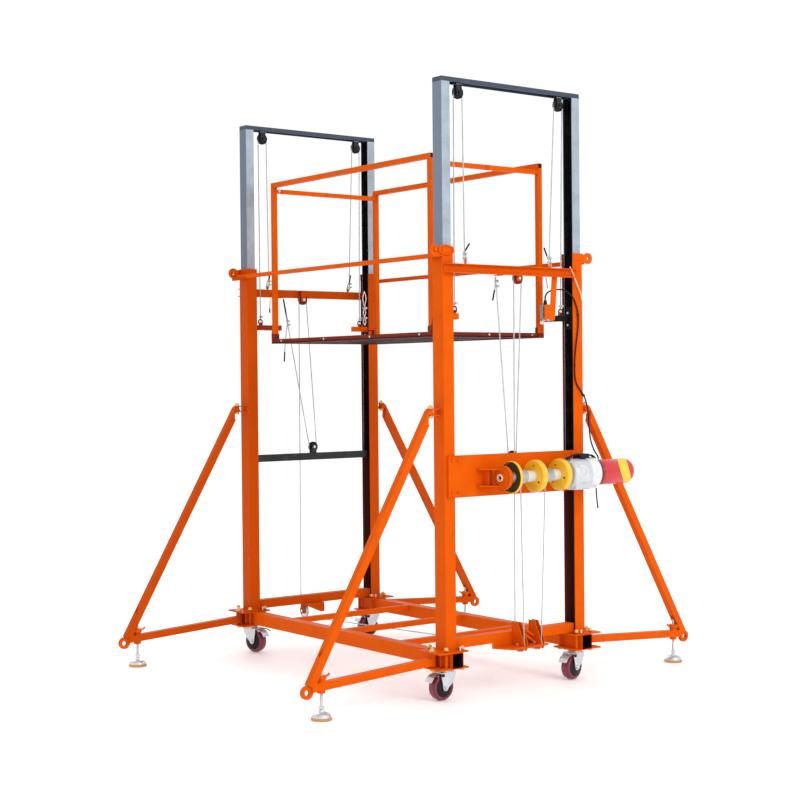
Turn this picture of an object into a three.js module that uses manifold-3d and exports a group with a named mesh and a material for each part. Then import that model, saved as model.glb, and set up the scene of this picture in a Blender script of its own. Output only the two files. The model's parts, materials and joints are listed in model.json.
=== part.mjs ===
// Twin-mast electric lifting platform on four braked casters, with folding outriggers.
// Units are millimetres, +Z is up, the floor is z = 0. X runs across the towers and
// Y runs from the near tower (the one with the winch, -Y) to the far tower (+Y).
import * as THREE from 'three';
import { mergeVertices } from 'three/addons/utils/BufferGeometryUtils.js';
import Module from 'manifold-3d';

const wasm = await Module();
wasm.setup();

// ---------------------------------------------------------------- driving dimensions
const GAP = 0.3;                 // clearance between pieces that touch
const HALF_WIDTH = 471;          // tower centre line to the outer face of a post
const HALF_SPAN = 915;           // object centre to the plane of a tower
const CASTER_HEIGHT = 160;       // floor to the top of a caster's mounting plate
const CLAMP = 8;                 // thickness of the corner clamp plates
const BEAM = { wide: 64, high: 70, wall: 4, half: 1010 };
const POST = { web: 84, flange: 66, wall: 4, top: 2250 };
const MAST = { web: 72, flange: 52, wall: 4, bottom: 1110, top: 3090, play: 2 };
const SILL = { bottom: 250, size: 50 };
const HEAD = { near: 2119, far: 2092, high: 46, deep: 28, wall: 4, nearEnd: 425 };
const FOOT_BAR = { bottom: 1114, high: 42, deep: 34 };
const TOP_BAR = { high: 23, deep: 72 };
const RAIL = 27;                 // square tube of the guard rails
const DECK = { halfX: 380, halfY: 750, bottom: 1809, high: 26, board: 18 };
const RAIL_TOP = 2742;           // top of the long side rails
const CORNER_TOP = 2712;         // top of the corner posts, which carry the side rails
const TUBE = 38;                 // square tube of the outriggers
const PIN_X = 525;               // vertical swing axis of an outrigger
const BRACE_TOP = 1430;          // height of the brace's top hinge
const JACK_X = 1190;             // centre of a levelling jack
const ARM_END = { x: 1250, z: 155 };
const ROPE = 3;                  // rope radius
const WINCH = { depth: 152, z: 1098, core: 30, pitch: 34, flange: 82 };
const BASE_SHEAVE = { pitch: 35, nearZ: 236, farZ: 205 };
const LOFT_SHEAVE = { pitch: 26 };           // head beam and mast foot sheaves
const LIFT_SHEAVE = { left: 332, right: 346, z: 3024, pitch: 27.5 };
const FOOT_SHEAVE = { x: 9, z: 1192 };
const HEAD_SHEAVE = { near: 38, far: -43, depth: 20, drop: 11 };
const LIFT_ANCHOR = { near_left: -338, near_right: 231, far_left: -270, far_right: 318 };
const WHEEL = { radius: 66, width: 50, trail: 34 };
const MOTOR_X = 240;             // face of the gear motor next to the drum

// ---------------------------------------------------------------- colours
const ORANGE = { color: 0xf26a1b, roughness: 0.38, metalness: 0.1 };
const MAST_GREY = { color: 0x7d8ea0, roughness: 0.35, metalness: 0.45 };
const MAROON = { color: 0x6e1f18, roughness: 0.5, metalness: 0.1 };
const BOARD = { color: 0x4e1d16, roughness: 0.6, metalness: 0.0 };
const YELLOW = { color: 0xf3b915, roughness: 0.4, metalness: 0.1 };
const SILVER = { color: 0xc9ced2, roughness: 0.35, metalness: 0.6 };
const RED = { color: 0xc41e2c, roughness: 0.4, metalness: 0.0 };
const BLACK = { color: 0x17181a, roughness: 0.55, metalness: 0.0 };
const ZINC = { color: 0xb9bec4, roughness: 0.3, metalness: 0.8 };
const TREAD = { color: 0x7c1c34, roughness: 0.4, metalness: 0.0 };
const STEEL_ROPE = { color: 0x8b9095, roughness: 0.4, metalness: 0.7 };

// ---------------------------------------------------------------- solid helpers
function solid(geometry) {
  const bare = geometry.clone();
  bare.deleteAttribute('normal');
  bare.deleteAttribute('uv');
  const merged = mergeVertices(bare, 1e-3);
  const triangles = [];
  for (let i = 0; i < merged.index.count; i += 3) {
    const [a, b, c] = [0, 1, 2].map((k) => merged.index.getX(i + k));
    if (a !== b && b !== c && c !== a) triangles.push(a, b, c);
  }
  return new wasm.Manifold(new wasm.Mesh({
    numProp: 3,
    vertProperties: new Float32Array(merged.attributes.position.array),
    triVerts: new Uint32Array(triangles),
  }));
}

function weld(...pieces) {
  return pieces.flat().reduce((whole, piece) => whole.add(piece));
}

function cut(body, ...tools) {
  return tools.flat().reduce((rest, tool) => rest.subtract(tool), body);
}

function block(x0, x1, y0, y1, z0, z1) {
  const box = new THREE.BoxGeometry(Math.abs(x1 - x0), Math.abs(y1 - y0), Math.abs(z1 - z0));
  return solid(box.translate((x0 + x1) / 2, (y0 + y1) / 2, (z0 + z1) / 2));
}

// A cylinder whose axis is 'x', 'y' or 'z', centred at (x, y, z).
function rod(axis, radius, length, x, y, z, sides = 8) {
  const geometry = new THREE.CylinderGeometry(radius, radius, length, sides);
  if (axis === 'x') geometry.rotateZ(Math.PI / 2);
  if (axis === 'z') geometry.rotateX(Math.PI / 2);
  return solid(geometry.translate(x, y, z));
}

// A revolved body: profile is [radius, height] pairs, turned about 'x', 'y' or 'z'.
function revolve(axis, profile, sides) {
  const points = profile.map(([r, h]) => new THREE.Vector2(r, h));
  const geometry = new THREE.LatheGeometry(points, sides);
  if (axis === 'x') geometry.rotateZ(-Math.PI / 2);
  if (axis === 'z') geometry.rotateX(Math.PI / 2);
  return solid(geometry);
}

function outline(points) {
  return new THREE.Shape(points.map(([x, y]) => new THREE.Vector2(x, y)));
}

// A flat plate: outline in the XZ plane, thickness along Y between y0 and y1.
function plateXZ(points, y0, y1) {
  const geometry = new THREE.ExtrudeGeometry(outline(points), {
    depth: Math.abs(y1 - y0), bevelEnabled: false,
  });
  return solid(geometry.rotateX(Math.PI / 2).translate(0, Math.max(y0, y1), 0));
}

// A flat plate: outline in the YZ plane, thickness along X between x0 and x1.
function plateYZ(points, x0, x1) {
  const geometry = new THREE.ExtrudeGeometry(outline(points), {
    depth: Math.abs(x1 - x0), bevelEnabled: false,
  });
  geometry.rotateX(Math.PI / 2).rotateZ(Math.PI / 2);
  return solid(geometry.translate(Math.min(x0, x1), 0, 0));
}

// A flat plate: outline in the XY plane, thickness along Z between z0 and z1.
function plateXY(points, z0, z1) {
  const geometry = new THREE.ExtrudeGeometry(outline(points), {
    depth: z1 - z0, bevelEnabled: false,
  });
  return solid(geometry.translate(0, 0, z0));
}

// A square bar in the XZ plane from (xa, za) to (xb, zb), centred on y = 0.
function slantBar(xa, za, xb, zb, size) {
  const length = Math.hypot(xb - xa, zb - za);
  const geometry = new THREE.BoxGeometry(length, size, size);
  geometry.rotateY(-Math.atan2(zb - za, xb - xa));
  return solid(geometry.translate((xa + xb) / 2, 0, (za + zb) / 2));
}

// A path through listed points whose rings fall exactly on those points.
class PointPath extends THREE.Curve {
  constructor(points) {
    super();
    this.points = points;
  }

  getPoint(t, target = new THREE.Vector3()) {
    const last = this.points.length - 1;
    const at = Math.min(t * last, last - 1e-9);
    const i = Math.floor(at);
    return target.lerpVectors(this.points[i], this.points[i + 1], at - i);
  }

  getUtoTmapping(u) {
    return u;
  }
}

function ring(radius, sides) {
  const points = [];
  for (let i = 0; i < sides; i += 1) {
    const angle = (2 * Math.PI * i) / sides;
    points.push(new THREE.Vector2(radius * Math.cos(angle), radius * Math.sin(angle)));
  }
  return new THREE.Shape(points);
}

function strand(path, radius, steps) {
  const shape = ring(radius, 8);
  return solid(new THREE.ExtrudeGeometry(shape, { steps, extrudePath: path, bevelEnabled: false }));
}

// ---------------------------------------------------------------- scene helpers
const lift = new THREE.Group();

function addMesh(name, body, material, parent = lift) {
  const mesh = body.getMesh();
  const geometry = new THREE.BufferGeometry();
  geometry.setAttribute('position', new THREE.BufferAttribute(mesh.vertProperties, 3));
  geometry.setIndex(new THREE.BufferAttribute(mesh.triVerts, 1));
  geometry.computeVertexNormals();
  const node = new THREE.Mesh(geometry, new THREE.MeshStandardMaterial(material));
  node.name = name;
  parent.add(node);
  return node;
}

function groupAt(x, y, z, turn = 0) {
  const group = new THREE.Group();
  group.position.set(x, y, z);
  group.rotation.z = turn;
  lift.add(group);
  return group;
}

const TOWERS = [{ name: 'near', out: -1 }, { name: 'far', out: 1 }];
const SIDES = [{ name: 'left', side: -1 }, { name: 'right', side: 1 }];

// y of a plane at a distance outward from a tower's centre plane
function outward(out, distance) {
  return out * (HALF_SPAN + distance);
}

// ---------------------------------------------------------------- base
const BEAM_X = HALF_WIDTH - BEAM.wide / 2;
const BEAM_BOTTOM = CASTER_HEIGHT + GAP + CLAMP + GAP;
const BEAM_TOP = BEAM_BOTTOM + BEAM.high;
const CLAMP_TOP = BEAM_TOP + GAP + CLAMP;

function hollowBeam(side) {
  const x = side * BEAM_X;
  const half = BEAM.wide / 2;
  const shell = block(x - half, x + half, -BEAM.half, BEAM.half, BEAM_BOTTOM, BEAM_TOP);
  const inner = half - BEAM.wall;
  const core = block(x - inner, x + inner, -BEAM.half - 1, BEAM.half + 1,
    BEAM_BOTTOM + BEAM.wall, BEAM_TOP - BEAM.wall);
  return cut(shell, core);
}

function baseFrame() {
  const stretcher = 30;
  const reach = BEAM_X - BEAM.wide / 2 + 1;
  const bars = [-510, 0, 510].map((y) => block(-reach, reach, y - stretcher / 2,
    y + stretcher / 2, BEAM_TOP - stretcher, BEAM_TOP));
  return weld(hollowBeam(-1), hollowBeam(1), bars);
}

const BASE_SHEAVES = {
  near_a: { x: -12, y: outward(-1, 69), z: BASE_SHEAVE.nearZ },
  near_b: { x: 104, y: outward(-1, 69), z: BASE_SHEAVE.nearZ },
  far: { x: -70, y: outward(1, -5), z: BASE_SHEAVE.farZ },
};

// Cheek plates and pin of a sheave whose axis lies along X: off the outer side of the near
// sill beam, or hanging under the far one.
function sillBracket({ x, y, z }) {
  const root = y < 0 ? outward(-1, SILL.size / 2 - 2) : 0;
  const sideways = [
    [root, SILL.bottom + 2], [y + 30, z - 30], [y - 36, z - 30], [y - 47, z - 14],
    [y - 47, z + 16], [y, z + 112], [root, z + 112],
  ];
  const hanging = [
    [y - 18, z - 16], [y - 18, SILL.bottom + 2], [y + 18, SILL.bottom + 2], [y + 18, z - 16],
  ];
  const cheeks = [-1, 1].map((k) => plateYZ(y < 0 ? sideways : hanging, x + k * 9, x + k * 14));
  return weld(cheeks, rod('x', 5, 30, x, y, z));
}

// Shelf under the near sill with slots for the two sheaves, and the braces between the cheeks.
function diverterTray() {
  const edge = outward(-1, SILL.size / 2 - 6);
  const tray = plateXY([
    [-154, edge], [-98, outward(-1, 128)], [100, outward(-1, 128)], [100, outward(-1, 116)],
    [142, outward(-1, 116)], [142, edge],
  ], SILL.bottom - 28, SILL.bottom - 18);
  const back = block(-154, 142, edge - 6, edge, SILL.bottom - 28, SILL.bottom + 2);
  const slots = [BASE_SHEAVES.near_a, BASE_SHEAVES.near_b].map(({ x }) => block(x - 9, x + 9,
    outward(-1, 126), edge + 1, SILL.bottom - 30, SILL.bottom + 1));
  const braces = [0, 28].map((dx) => plateXZ([
    [BASE_SHEAVES.near_a.x + 12, 322 - dx], [BASE_SHEAVES.near_a.x + 12, 338 - dx],
    [BASE_SHEAVES.near_b.x - 12, 276 - dx], [BASE_SHEAVES.near_b.x - 12, 260 - dx],
  ], outward(-1, 66), outward(-1, 60)));
  return weld(cut(weld(tray, back), slots), braces);
}

// Wedge-shaped guard under the far sill, in front of the sheave.
function farWedge() {
  const face = outward(1, -SILL.size / 2);
  const bottom = SILL.bottom + 2;
  const wedge = plateXZ([[-102, bottom], [-102, bottom - 4], [20, 196], [44, 196], [44, bottom]],
    face - 30, face - 25);
  const top = block(-102, 44, face - 30, face + 2, SILL.bottom - 2, bottom);
  const end = block(39, 44, face - 30, face + 10, 196, bottom);
  return weld(wedge, top, end);
}

function sillBeam(out) {
  const y = outward(out, 0);
  const end = HALF_WIDTH - POST.flange - GAP;
  const half = SILL.size / 2;
  const beam = block(-end, end, y - half, y + half, SILL.bottom, SILL.bottom + SILL.size);
  const brackets = Object.entries(BASE_SHEAVES)
    .filter(([name]) => name.startsWith(out < 0 ? 'near' : 'far'))
    .map(([, where]) => sillBracket(where));
  return weld(beam, brackets, out < 0 ? diverterTray() : farWedge());
}

// ---------------------------------------------------------------- posts
// U section open towards -x of its own frame, with the web's outer face at x = 0.
function channel(web, flange, wall, z0, z1, skin = 0) {
  const half = web / 2;
  return plateXY([
    [skin, -half - skin], [skin, half + skin], [-flange, half + skin], [-flange, half - wall],
    [-wall, half - wall], [-wall, wall - half], [-flange, wall - half], [-flange, -half - skin],
  ], z0, z1);
}

// Built for the right side at x > 0, about the post's own centre line y = 0.
function postBody(out) {
  const web = channel(POST.web, POST.flange, POST.wall, CLAMP_TOP - 4, POST.top);
  const collar = channel(POST.web, POST.flange, POST.wall, POST.top - 35, POST.top, 3);
  const profile = weld(web, collar).translate([HALF_WIDTH, 0, 0]);
  const plates = [CASTER_HEIGHT + GAP, CLAMP_TOP - CLAMP].map(
    (z) => block(362, PIN_X + 22, -85, 85, z, z + CLAMP));
  const bolts = [[389, -65], [389, 65], [489, -65], [489, 65]].map(
    ([x, y]) => rod('z', 8, BEAM.high + 26, x, y, (BEAM_TOP + BEAM_BOTTOM) / 2 + 10, 6));
  const footPin = rod('z', 6, CLAMP_TOP - CASTER_HEIGHT - 2, PIN_X, 0,
    (CLAMP_TOP + CASTER_HEIGHT) / 2);
  const ears = [-18, 12].map((dz) => block(HALF_WIDTH - 1, PIN_X + 14, -16, 16,
    BRACE_TOP + dz, BRACE_TOP + dz + 6));
  const topPin = rod('z', 6, 48, PIN_X, 0, BRACE_TOP);
  const lugZ = POST.top - 24;
  const lugX = HALF_WIDTH + 46;
  const lugY = out * (POST.web / 2 - 4);
  const lug = cut(
    weld(rod('y', 30, 8, lugX, lugY, lugZ, 12),
      block(HALF_WIDTH - 1, lugX, lugY - 4, lugY + 4, lugZ - 26, lugZ + 20)),
    rod('y', 9, 20, lugX, lugY, lugZ),
  );
  return weld(profile, plates, bolts, footPin, ears, topPin, lug);
}

// ---------------------------------------------------------------- head beams
// Channel on the outer face of the posts, with a sheave bracket and the rope anchors.
const headBottom = (out) => (out < 0 ? HEAD.near : HEAD.far);
const headSheaveZ = (out) => headBottom(out) - HEAD_SHEAVE.drop;

function headBeam(out, anchors, sheaveX) {
  const y0 = outward(out, POST.web / 2 + GAP);
  const y1 = y0 + out * HEAD.deep;
  const z1 = headBottom(out) + HEAD.high;
  const rightEnd = out < 0 ? HEAD.nearEnd : HALF_WIDTH - 4;
  const section = block(-HALF_WIDTH + 4, rightEnd, y0, y1, headBottom(out), z1);
  const hollow = block(-HALF_WIDTH, HALF_WIDTH, y0 + out * HEAD.wall, y1 + out,
    headBottom(out) + HEAD.wall, z1 - HEAD.wall);
  const bolts = anchors.map((x) => rod('z', 5, 26, x, y0 + out * 14, z1 + 10, 8));
  const y = outward(out, HEAD_SHEAVE.depth);
  const tray = block(sheaveX - 16, sheaveX + 16, y - 14, y0 + 2 * out, z1 - 8, z1 - 2);
  const trayFar = block(sheaveX - 16, sheaveX + 16, y + 14, y0 + 2 * out, z1 - 8, z1 - 2);
  const cheeks = [-1, 1].map((k) => block(sheaveX - 16, sheaveX + 16, y + k * 9, y + k * 13,
    headSheaveZ(out) - 14, z1 - 4));
  const pin = rod('y', 5, 27, sheaveX, y, headSheaveZ(out));
  return weld(cut(section, hollow), bolts, out < 0 ? trayFar : tray, cheeks, pin);
}

// ---------------------------------------------------------------- masts
const MAST_FACE = HALF_WIDTH - POST.wall - MAST.play;
const MAST_BAR_BOTTOM = MAST.top - TOP_BAR.high;

function sheaveHanger(x, z, z0, z1) {
  const cheeks = [-1, 1].map((k) => block(x - 17, x + 17, k * 9, k * 13, z0, z1));
  return weld(cheeks, rod('y', 5, 27, x, 0, z));
}

function mastFrame() {
  const leg = channel(MAST.web, MAST.flange, MAST.wall, MAST.bottom, MAST_BAR_BOTTOM + 1)
    .translate([MAST_FACE, 0, 0]);
  const twin = leg.rotate([0, 0, 180]);
  const top = cut(
    block(-MAST_FACE, MAST_FACE, -TOP_BAR.deep / 2, TOP_BAR.deep / 2, MAST_BAR_BOTTOM, MAST.top),
    block(-MAST_FACE + 56, MAST_FACE - 56, -TOP_BAR.deep / 2 + 5, TOP_BAR.deep / 2 - 5,
      MAST_BAR_BOTTOM - 1, MAST.top - 5),
  );
  const reach = MAST_FACE - MAST.wall + 1;
  const foot = block(-reach, reach, -FOOT_BAR.deep / 2, FOOT_BAR.deep / 2,
    FOOT_BAR.bottom, FOOT_BAR.bottom + FOOT_BAR.high);
  const hangers = [-LIFT_SHEAVE.left, LIFT_SHEAVE.right].map((x) => sheaveHanger(x,
    LIFT_SHEAVE.z, LIFT_SHEAVE.z - 14, MAST.top - 4));
  const footHanger = sheaveHanger(FOOT_SHEAVE.x, FOOT_SHEAVE.z,
    FOOT_BAR.bottom + FOOT_BAR.high - 2, FOOT_SHEAVE.z + 14);
  return weld(leg, twin, top, foot, hangers, footHanger);
}

// ---------------------------------------------------------------- sheaves
function sheave(axis, pitch) {
  const rim = pitch + 5;
  const groove = pitch - ROPE - 1.2;
  return revolve(axis, [
    [5.4, -7], [rim, -7], [groove, -3.6], [groove, 3.6], [rim, 7], [5.4, 7], [5.4, -7],
  ], 14);
}

// ---------------------------------------------------------------- winch
function winchPlate() {
  const face = outward(-1, POST.web / 2 + GAP);
  const front = face - 8;
  const end = HALF_WIDTH - 15;
  const { depth, z } = WINCH;
  const axisY = outward(-1, depth);
  const plate = block(-end, end, front, face, 1004, 1214);
  const pads = [-1, 1].map((k) => block(k * (end - 82), k * end, front - 6, face, 1010, 1208));
  const housing = rod('x', 59, 22, -181, axisY, z, 20);
  const gussets = [-45, 39].map((dz) => plateXY([
    [-275, front + 1], [-275, front - 22], [-192, axisY], [-170, axisY], [-170, front + 1],
  ].reverse(), z + dz, z + dz + 6));
  const rib = plateYZ([
    [front + 1, z - 40], [front + 1, z + 40], [front - 45, z + 40], [front - 45, z - 40],
  ].reverse(), -232, -226);
  const bore = rod('x', 13, 60, -181, axisY, z, 20);
  return cut(weld(plate, pads, housing, gussets, rib), bore);
}

function winchDrum() {
  const { core, flange } = WINCH;
  const lip = flange - 4;
  return revolve('x', [
    [0, -204], [12.5, -204], [12.5, -122], [lip, -122], [lip, -138], [flange, -138],
    [flange, -117], [core, -117], [core, 14], [flange, 14], [flange, 46], [lip, 46], [lip, 20],
    [core, 20], [core, 182], [flange, 182], [flange, 214], [lip, 214], [lip, 188],
    [30, 188], [30, 230], [12.5, 230], [12.5, MOTOR_X - 1], [0, MOTOR_X - 1],
  ], 20);
}

function gearMotor() {
  const front = outward(-1, POST.web / 2 + GAP + 8 + GAP + 6);
  const axisY = outward(-1, WINCH.depth);
  const { z } = WINCH;
  const foot = block(MOTOR_X + 18, MOTOR_X + 72, axisY, front, z - 62, z + 62);
  return weld(
    rod('x', 78, 165, MOTOR_X + 82.5, axisY, z, 24),
    rod('x', 83, 34, MOTOR_X + 182, axisY, z, 24),
    foot,
    block(MOTOR_X + 18, MOTOR_X + 158, axisY - 76, axisY + 10, z - 82, z - 20),
  );
}

function motorCover() {
  return revolve('x', [
    [0, 199.3], [70, 199.3], [70, 212], [67, 214], [67, 424], [58, 446], [30, 457], [0, 459],
  ], 24).translate([MOTOR_X, outward(-1, WINCH.depth), WINCH.z]);
}

// ---------------------------------------------------------------- limit switch
const LEVER = { x: 262, z: 1925, depth: -3 };

function limitSwitch() {
  const back = outward(-1, POST.web / 2 - 0.3);
  const top = HEAD.near + HEAD.high - 4;
  const arm = plateXZ([[242, 1900], [278, 1900], [299, top], [263, top]], back, back + 6);
  const box = block(202, 284, outward(-1, 4), back + 2, 1900, 1975);
  const [neckX, neckDepth] = SWITCH_CABLE[0];
  const neck = rod('z', 9, 26, neckX, outward(-1, neckDepth), 1984, 10);
  const spindle = rod('y', 4, 20, LEVER.x, outward(-1, 0), LEVER.z);
  return weld(arm, box, neck, spindle);
}

function limitLever() {
  const roller = { x: 226, z: 1884 };
  const y = outward(-1, LEVER.depth);
  const arm = slantBar(LEVER.x, LEVER.z, roller.x, roller.z, 7).translate([0, y, 0]);
  return cut(
    weld(rod('y', 9, 7, LEVER.x, y, LEVER.z), arm, rod('y', 10, 7, roller.x, y, roller.z)),
    rod('y', 4.4, 20, LEVER.x, y, LEVER.z),
  );
}

// ---------------------------------------------------------------- platform
const DECK_TOP = DECK.bottom + DECK.high;
const SLIDER = { x0: 416, x1: 457, half: 29, z0: 1850, z1: 1970 };
const ARM_REACH = { near_left: 335, near_right: 330, far_left: 225, far_right: 300 };

// Slider block in the mast channel, its arm, and the strap down to the end of the deck frame.
function sliderArm(out, side, reach) {
  const armIn = outward(out, -1);
  const armOut = outward(out, -27);
  const deckEnd = out * (DECK.halfY + GAP);
  const slider = block(side * SLIDER.x0, side * SLIDER.x1, outward(out, -SLIDER.half),
    outward(out, SLIDER.half), SLIDER.z0, SLIDER.z1);
  const arm = block(side * reach, side * (SLIDER.x0 + 2), armIn, armOut, 1892, 1922);
  const strap = block(side * (DECK.halfX - 40), side * DECK.halfX, armIn, deckEnd, 1892, 1898);
  const drop = block(side * (DECK.halfX - 40), side * DECK.halfX, deckEnd, deckEnd + out * 6,
    DECK.bottom, 1898);
  const foot = block(side * (DECK.halfX - 40), side * DECK.halfX, deckEnd - out * 3,
    deckEnd + out * 3, DECK.bottom, DECK_TOP - 1);
  const eye = cut(rod('y', 13, 8, side * 360, outward(out, -9), 1928),
    rod('y', 5, 20, side * 360, outward(out, -9), 1930, 8));
  return weld(slider, arm, strap, drop, foot, eye);
}

function platformFrame() {
  const { halfX, halfY, bottom } = DECK;
  const skirt = cut(
    block(-halfX, halfX, -halfY, halfY, bottom, DECK_TOP),
    block(-halfX + 4, halfX - 4, -halfY + 4, halfY - 4, bottom + 4, DECK_TOP + 1),
    block(-halfX + 34, halfX - 34, -halfY + 34, halfY - 34, bottom - 1, DECK_TOP),
  );
  const arms = TOWERS.flatMap(({ name, out }) => SIDES.map(
    ({ name: hand, side }) => sliderArm(out, side, ARM_REACH[`${name}_${hand}`])));
  return weld(skirt, arms);
}

function deckBoard() {
  const inset = 4 + GAP;
  return block(-DECK.halfX + inset, DECK.halfX - inset, -DECK.halfY + inset, DECK.halfY - inset,
    DECK.bottom + 4 + GAP, DECK.bottom + 4 + GAP + DECK.board);
}

const GATE = { x: -338, z: 2695, half: 12 };

function sideRail(side) {
  const x0 = side * (DECK.halfX - RAIL);
  const x1 = side * DECK.halfX;
  const posts = [-1, 1].map((k) => block(x0, x1, k * (DECK.halfY - RAIL), k * DECK.halfY,
    DECK_TOP + GAP, RAIL_TOP - RAIL + 1));
  const caps = [-1, 1].map((k) => block(side * (DECK.halfX - RAIL - 12), x1,
    k * (DECK.halfY - RAIL), k * DECK.halfY, CORNER_TOP - 4, CORNER_TOP));
  const top = block(x0, x1, -DECK.halfY, DECK.halfY, RAIL_TOP - RAIL, RAIL_TOP);
  const hinges = [-1, 1].map((k) => {
    const y = k * (DECK.halfY - RAIL / 2);
    const ears = [-1, 1].map((e) => weld(
      rod('y', 10, 4, GATE.x, y + e * 9.5, GATE.z),
      block(GATE.x, x0 - 1, y + e * 7.5, y + e * 11.5, GATE.z - 10, GATE.z + 10),
    ));
    return weld(ears, rod('y', 4, 22, GATE.x, y, GATE.z, 10));
  });
  return side < 0 ? weld(posts, top, hinges) : weld(posts, top, caps);
}

// Drop bar across one end of the deck, hinged on the left corner post.
function endRail(k) {
  const y = k * (DECK.halfY - RAIL / 2);
  const { x, z, half } = GATE;
  const end = DECK.halfX - RAIL - GAP;
  const bar = block(x + 18, end, y - half, y + half, z - half, z + half);
  const tongue = weld(rod('y', 11, 12, x, y, z), block(x, x + 20, y - 6, y + 6, z - 11, z + 11));
  return cut(weld(bar, tongue), rod('y', 4.4, 30, x, y, z, 10));
}

// ---------------------------------------------------------------- casters
// Built about the swivel axis, with the wheel trailing along -x.
function casterFork() {
  const top = CASTER_HEIGHT;
  const plate = block(-50, 50, -43, 43, top - 4, top);
  const race = rod('z', 30, 16, 0, 0, top - 12, 12);
  const side = WHEEL.width / 2 + 8;
  const crown = block(-60, 34, -side - 5, side + 5, top - 22, top - 16);
  const legs = [-1, 1].map((k) => plateXZ([
    [-60, top - 17], [34, top - 17], [22, top - 54], [-WHEEL.trail + 16, WHEEL.radius - 16],
    [-WHEEL.trail - 16, WHEEL.radius - 16], [-WHEEL.trail - 20, WHEEL.radius + 14],
  ], k * side, k * (side + 5)));
  const axle = rod('y', 6, 2 * side + 16, -WHEEL.trail, 0, WHEEL.radius);
  const pedal = plateXZ([
    [-58, top - 21], [-58, top - 30], [-92, top - 38], [-112, top - 62], [-116, top - 58],
    [-95, top - 31],
  ].reverse(), -26, 26);
  return weld(plate, race, crown, legs, axle, pedal);
}

function casterWheel() {
  const { radius, width } = WHEEL;
  const half = width / 2;
  return revolve('y', [
    [6.4, -half - 7], [20, -half - 7], [46, -half - 3], [48, -half], [radius - 6, -half],
    [radius, -half + 9], [radius, half - 9], [radius - 6, half], [48, half], [46, half + 3],
    [20, half + 7], [6.4, half + 7], [6.4, -half - 7],
  ], 20);
}

// ---------------------------------------------------------------- outriggers
// Built about the swing pin, reaching along +x.
function outrigger() {
  const rootZ = (BEAM_BOTTOM + BEAM_TOP) / 2;
  const end = ARM_END.x - PIN_X;
  const jack = JACK_X - PIN_X;
  const armZ = rootZ + ((ARM_END.z - rootZ) * (jack - 10)) / (end - 10);
  const arm = slantBar(10, rootZ - 6, end, ARM_END.z, TUBE);
  const brace = slantBar(2, BRACE_TOP + 4, end + 6, ARM_END.z + 8, TUBE);
  const rootSleeve = rod('z', 17, BEAM.high - 6, 0, 0, rootZ, 12);
  const topSleeve = rod('z', 15, 23.4, 0, 0, BRACE_TOP, 12);
  const nut = rod('z', 20, 66, jack, 0, armZ, 12);
  const eye = rod('y', 33, 12, end + 22, 0, ARM_END.z - 18, 16);
  const bores = [
    rod('z', 7, BEAM.high, 0, 0, rootZ),
    rod('z', 7, 40, 0, 0, BRACE_TOP),
    rod('z', 11, 400, jack, 0, armZ, 12),
    rod('y', 15, 20, end + 26, 0, ARM_END.z - 20, 12),
    // the tube ends are cut away around the two hinge ears
    block(-30, 24, -40, 40, BRACE_TOP - 60, BRACE_TOP - 11.7),
    block(-30, 24, -40, 40, BRACE_TOP + 11.7, BRACE_TOP + 60),
  ];
  return cut(weld(arm, brace, rootSleeve, topSleeve, nut, eye), bores);
}

function levellingJack() {
  return revolve('z', [
    [0, 0], [50, 0], [50, 12], [44, 14], [20, 34], [13, 40], [13, 52], [10, 54], [10, 236],
    [0, 236],
  ], 12);
}

// ---------------------------------------------------------------- ropes
function arcPoints(centre, radius, from, to, plane, steps = 8) {
  const points = [];
  for (let i = 0; i <= steps; i += 1) {
    const angle = THREE.MathUtils.degToRad(from + ((to - from) * i) / steps);
    const a = radius * Math.cos(angle);
    const b = radius * Math.sin(angle);
    points.push(plane === 'xz'
      ? new THREE.Vector3(centre.x + a, centre.y, centre.z + b)
      : new THREE.Vector3(centre.x, centre.y + a, centre.z + b));
  }
  return points;
}

function ropeAlong(points) {
  return strand(new PointPath(points), ROPE, points.length - 1);
}

const at = (x, y, z) => new THREE.Vector3(x, y, z);

// From a head sheave down to the mast foot sheave and back up to the head beam.
function loftRun(out, sheaveX, anchorX) {
  const head = at(sheaveX, outward(out, HEAD_SHEAVE.depth), headSheaveZ(out));
  const foot = at(FOOT_SHEAVE.x, outward(out, 0), FOOT_SHEAVE.z);
  const pitch = LOFT_SHEAVE.pitch;
  return [
    ...arcPoints(head, pitch, 180, 0, 'xz'),
    ...arcPoints(foot, pitch, 0, -180, 'xz'),
    at(anchorX, outward(out, 14), headBottom(out) - 8),
    at(anchorX - 4, outward(out, 30), headBottom(out) - 2),
  ];
}

function winchRopeNear() {
  const turn = BASE_SHEAVES.near_a;
  const drumY = outward(-1, WINCH.depth) + WINCH.pitch + 1.5;
  return ropeAlong([
    at(-40, drumY, WINCH.z - 2),
    ...arcPoints(turn, BASE_SHEAVE.pitch, -180, 0, 'yz'),
    ...loftRun(-1, HEAD_SHEAVE.near, -105),
  ]);
}

function winchRopeFar() {
  const near = BASE_SHEAVES.near_b;
  const far = BASE_SHEAVES.far;
  const drumY = outward(-1, WINCH.depth) + WINCH.pitch + 1.5;
  return ropeAlong([
    at(130, drumY, WINCH.z - 2),
    ...arcPoints(near, BASE_SHEAVE.pitch, -180, -90, 'yz', 4),
    ...arcPoints(far, BASE_SHEAVE.pitch, -90, 0, 'yz', 4),
    ...loftRun(1, HEAD_SHEAVE.far, -185),
  ]);
}

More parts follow.
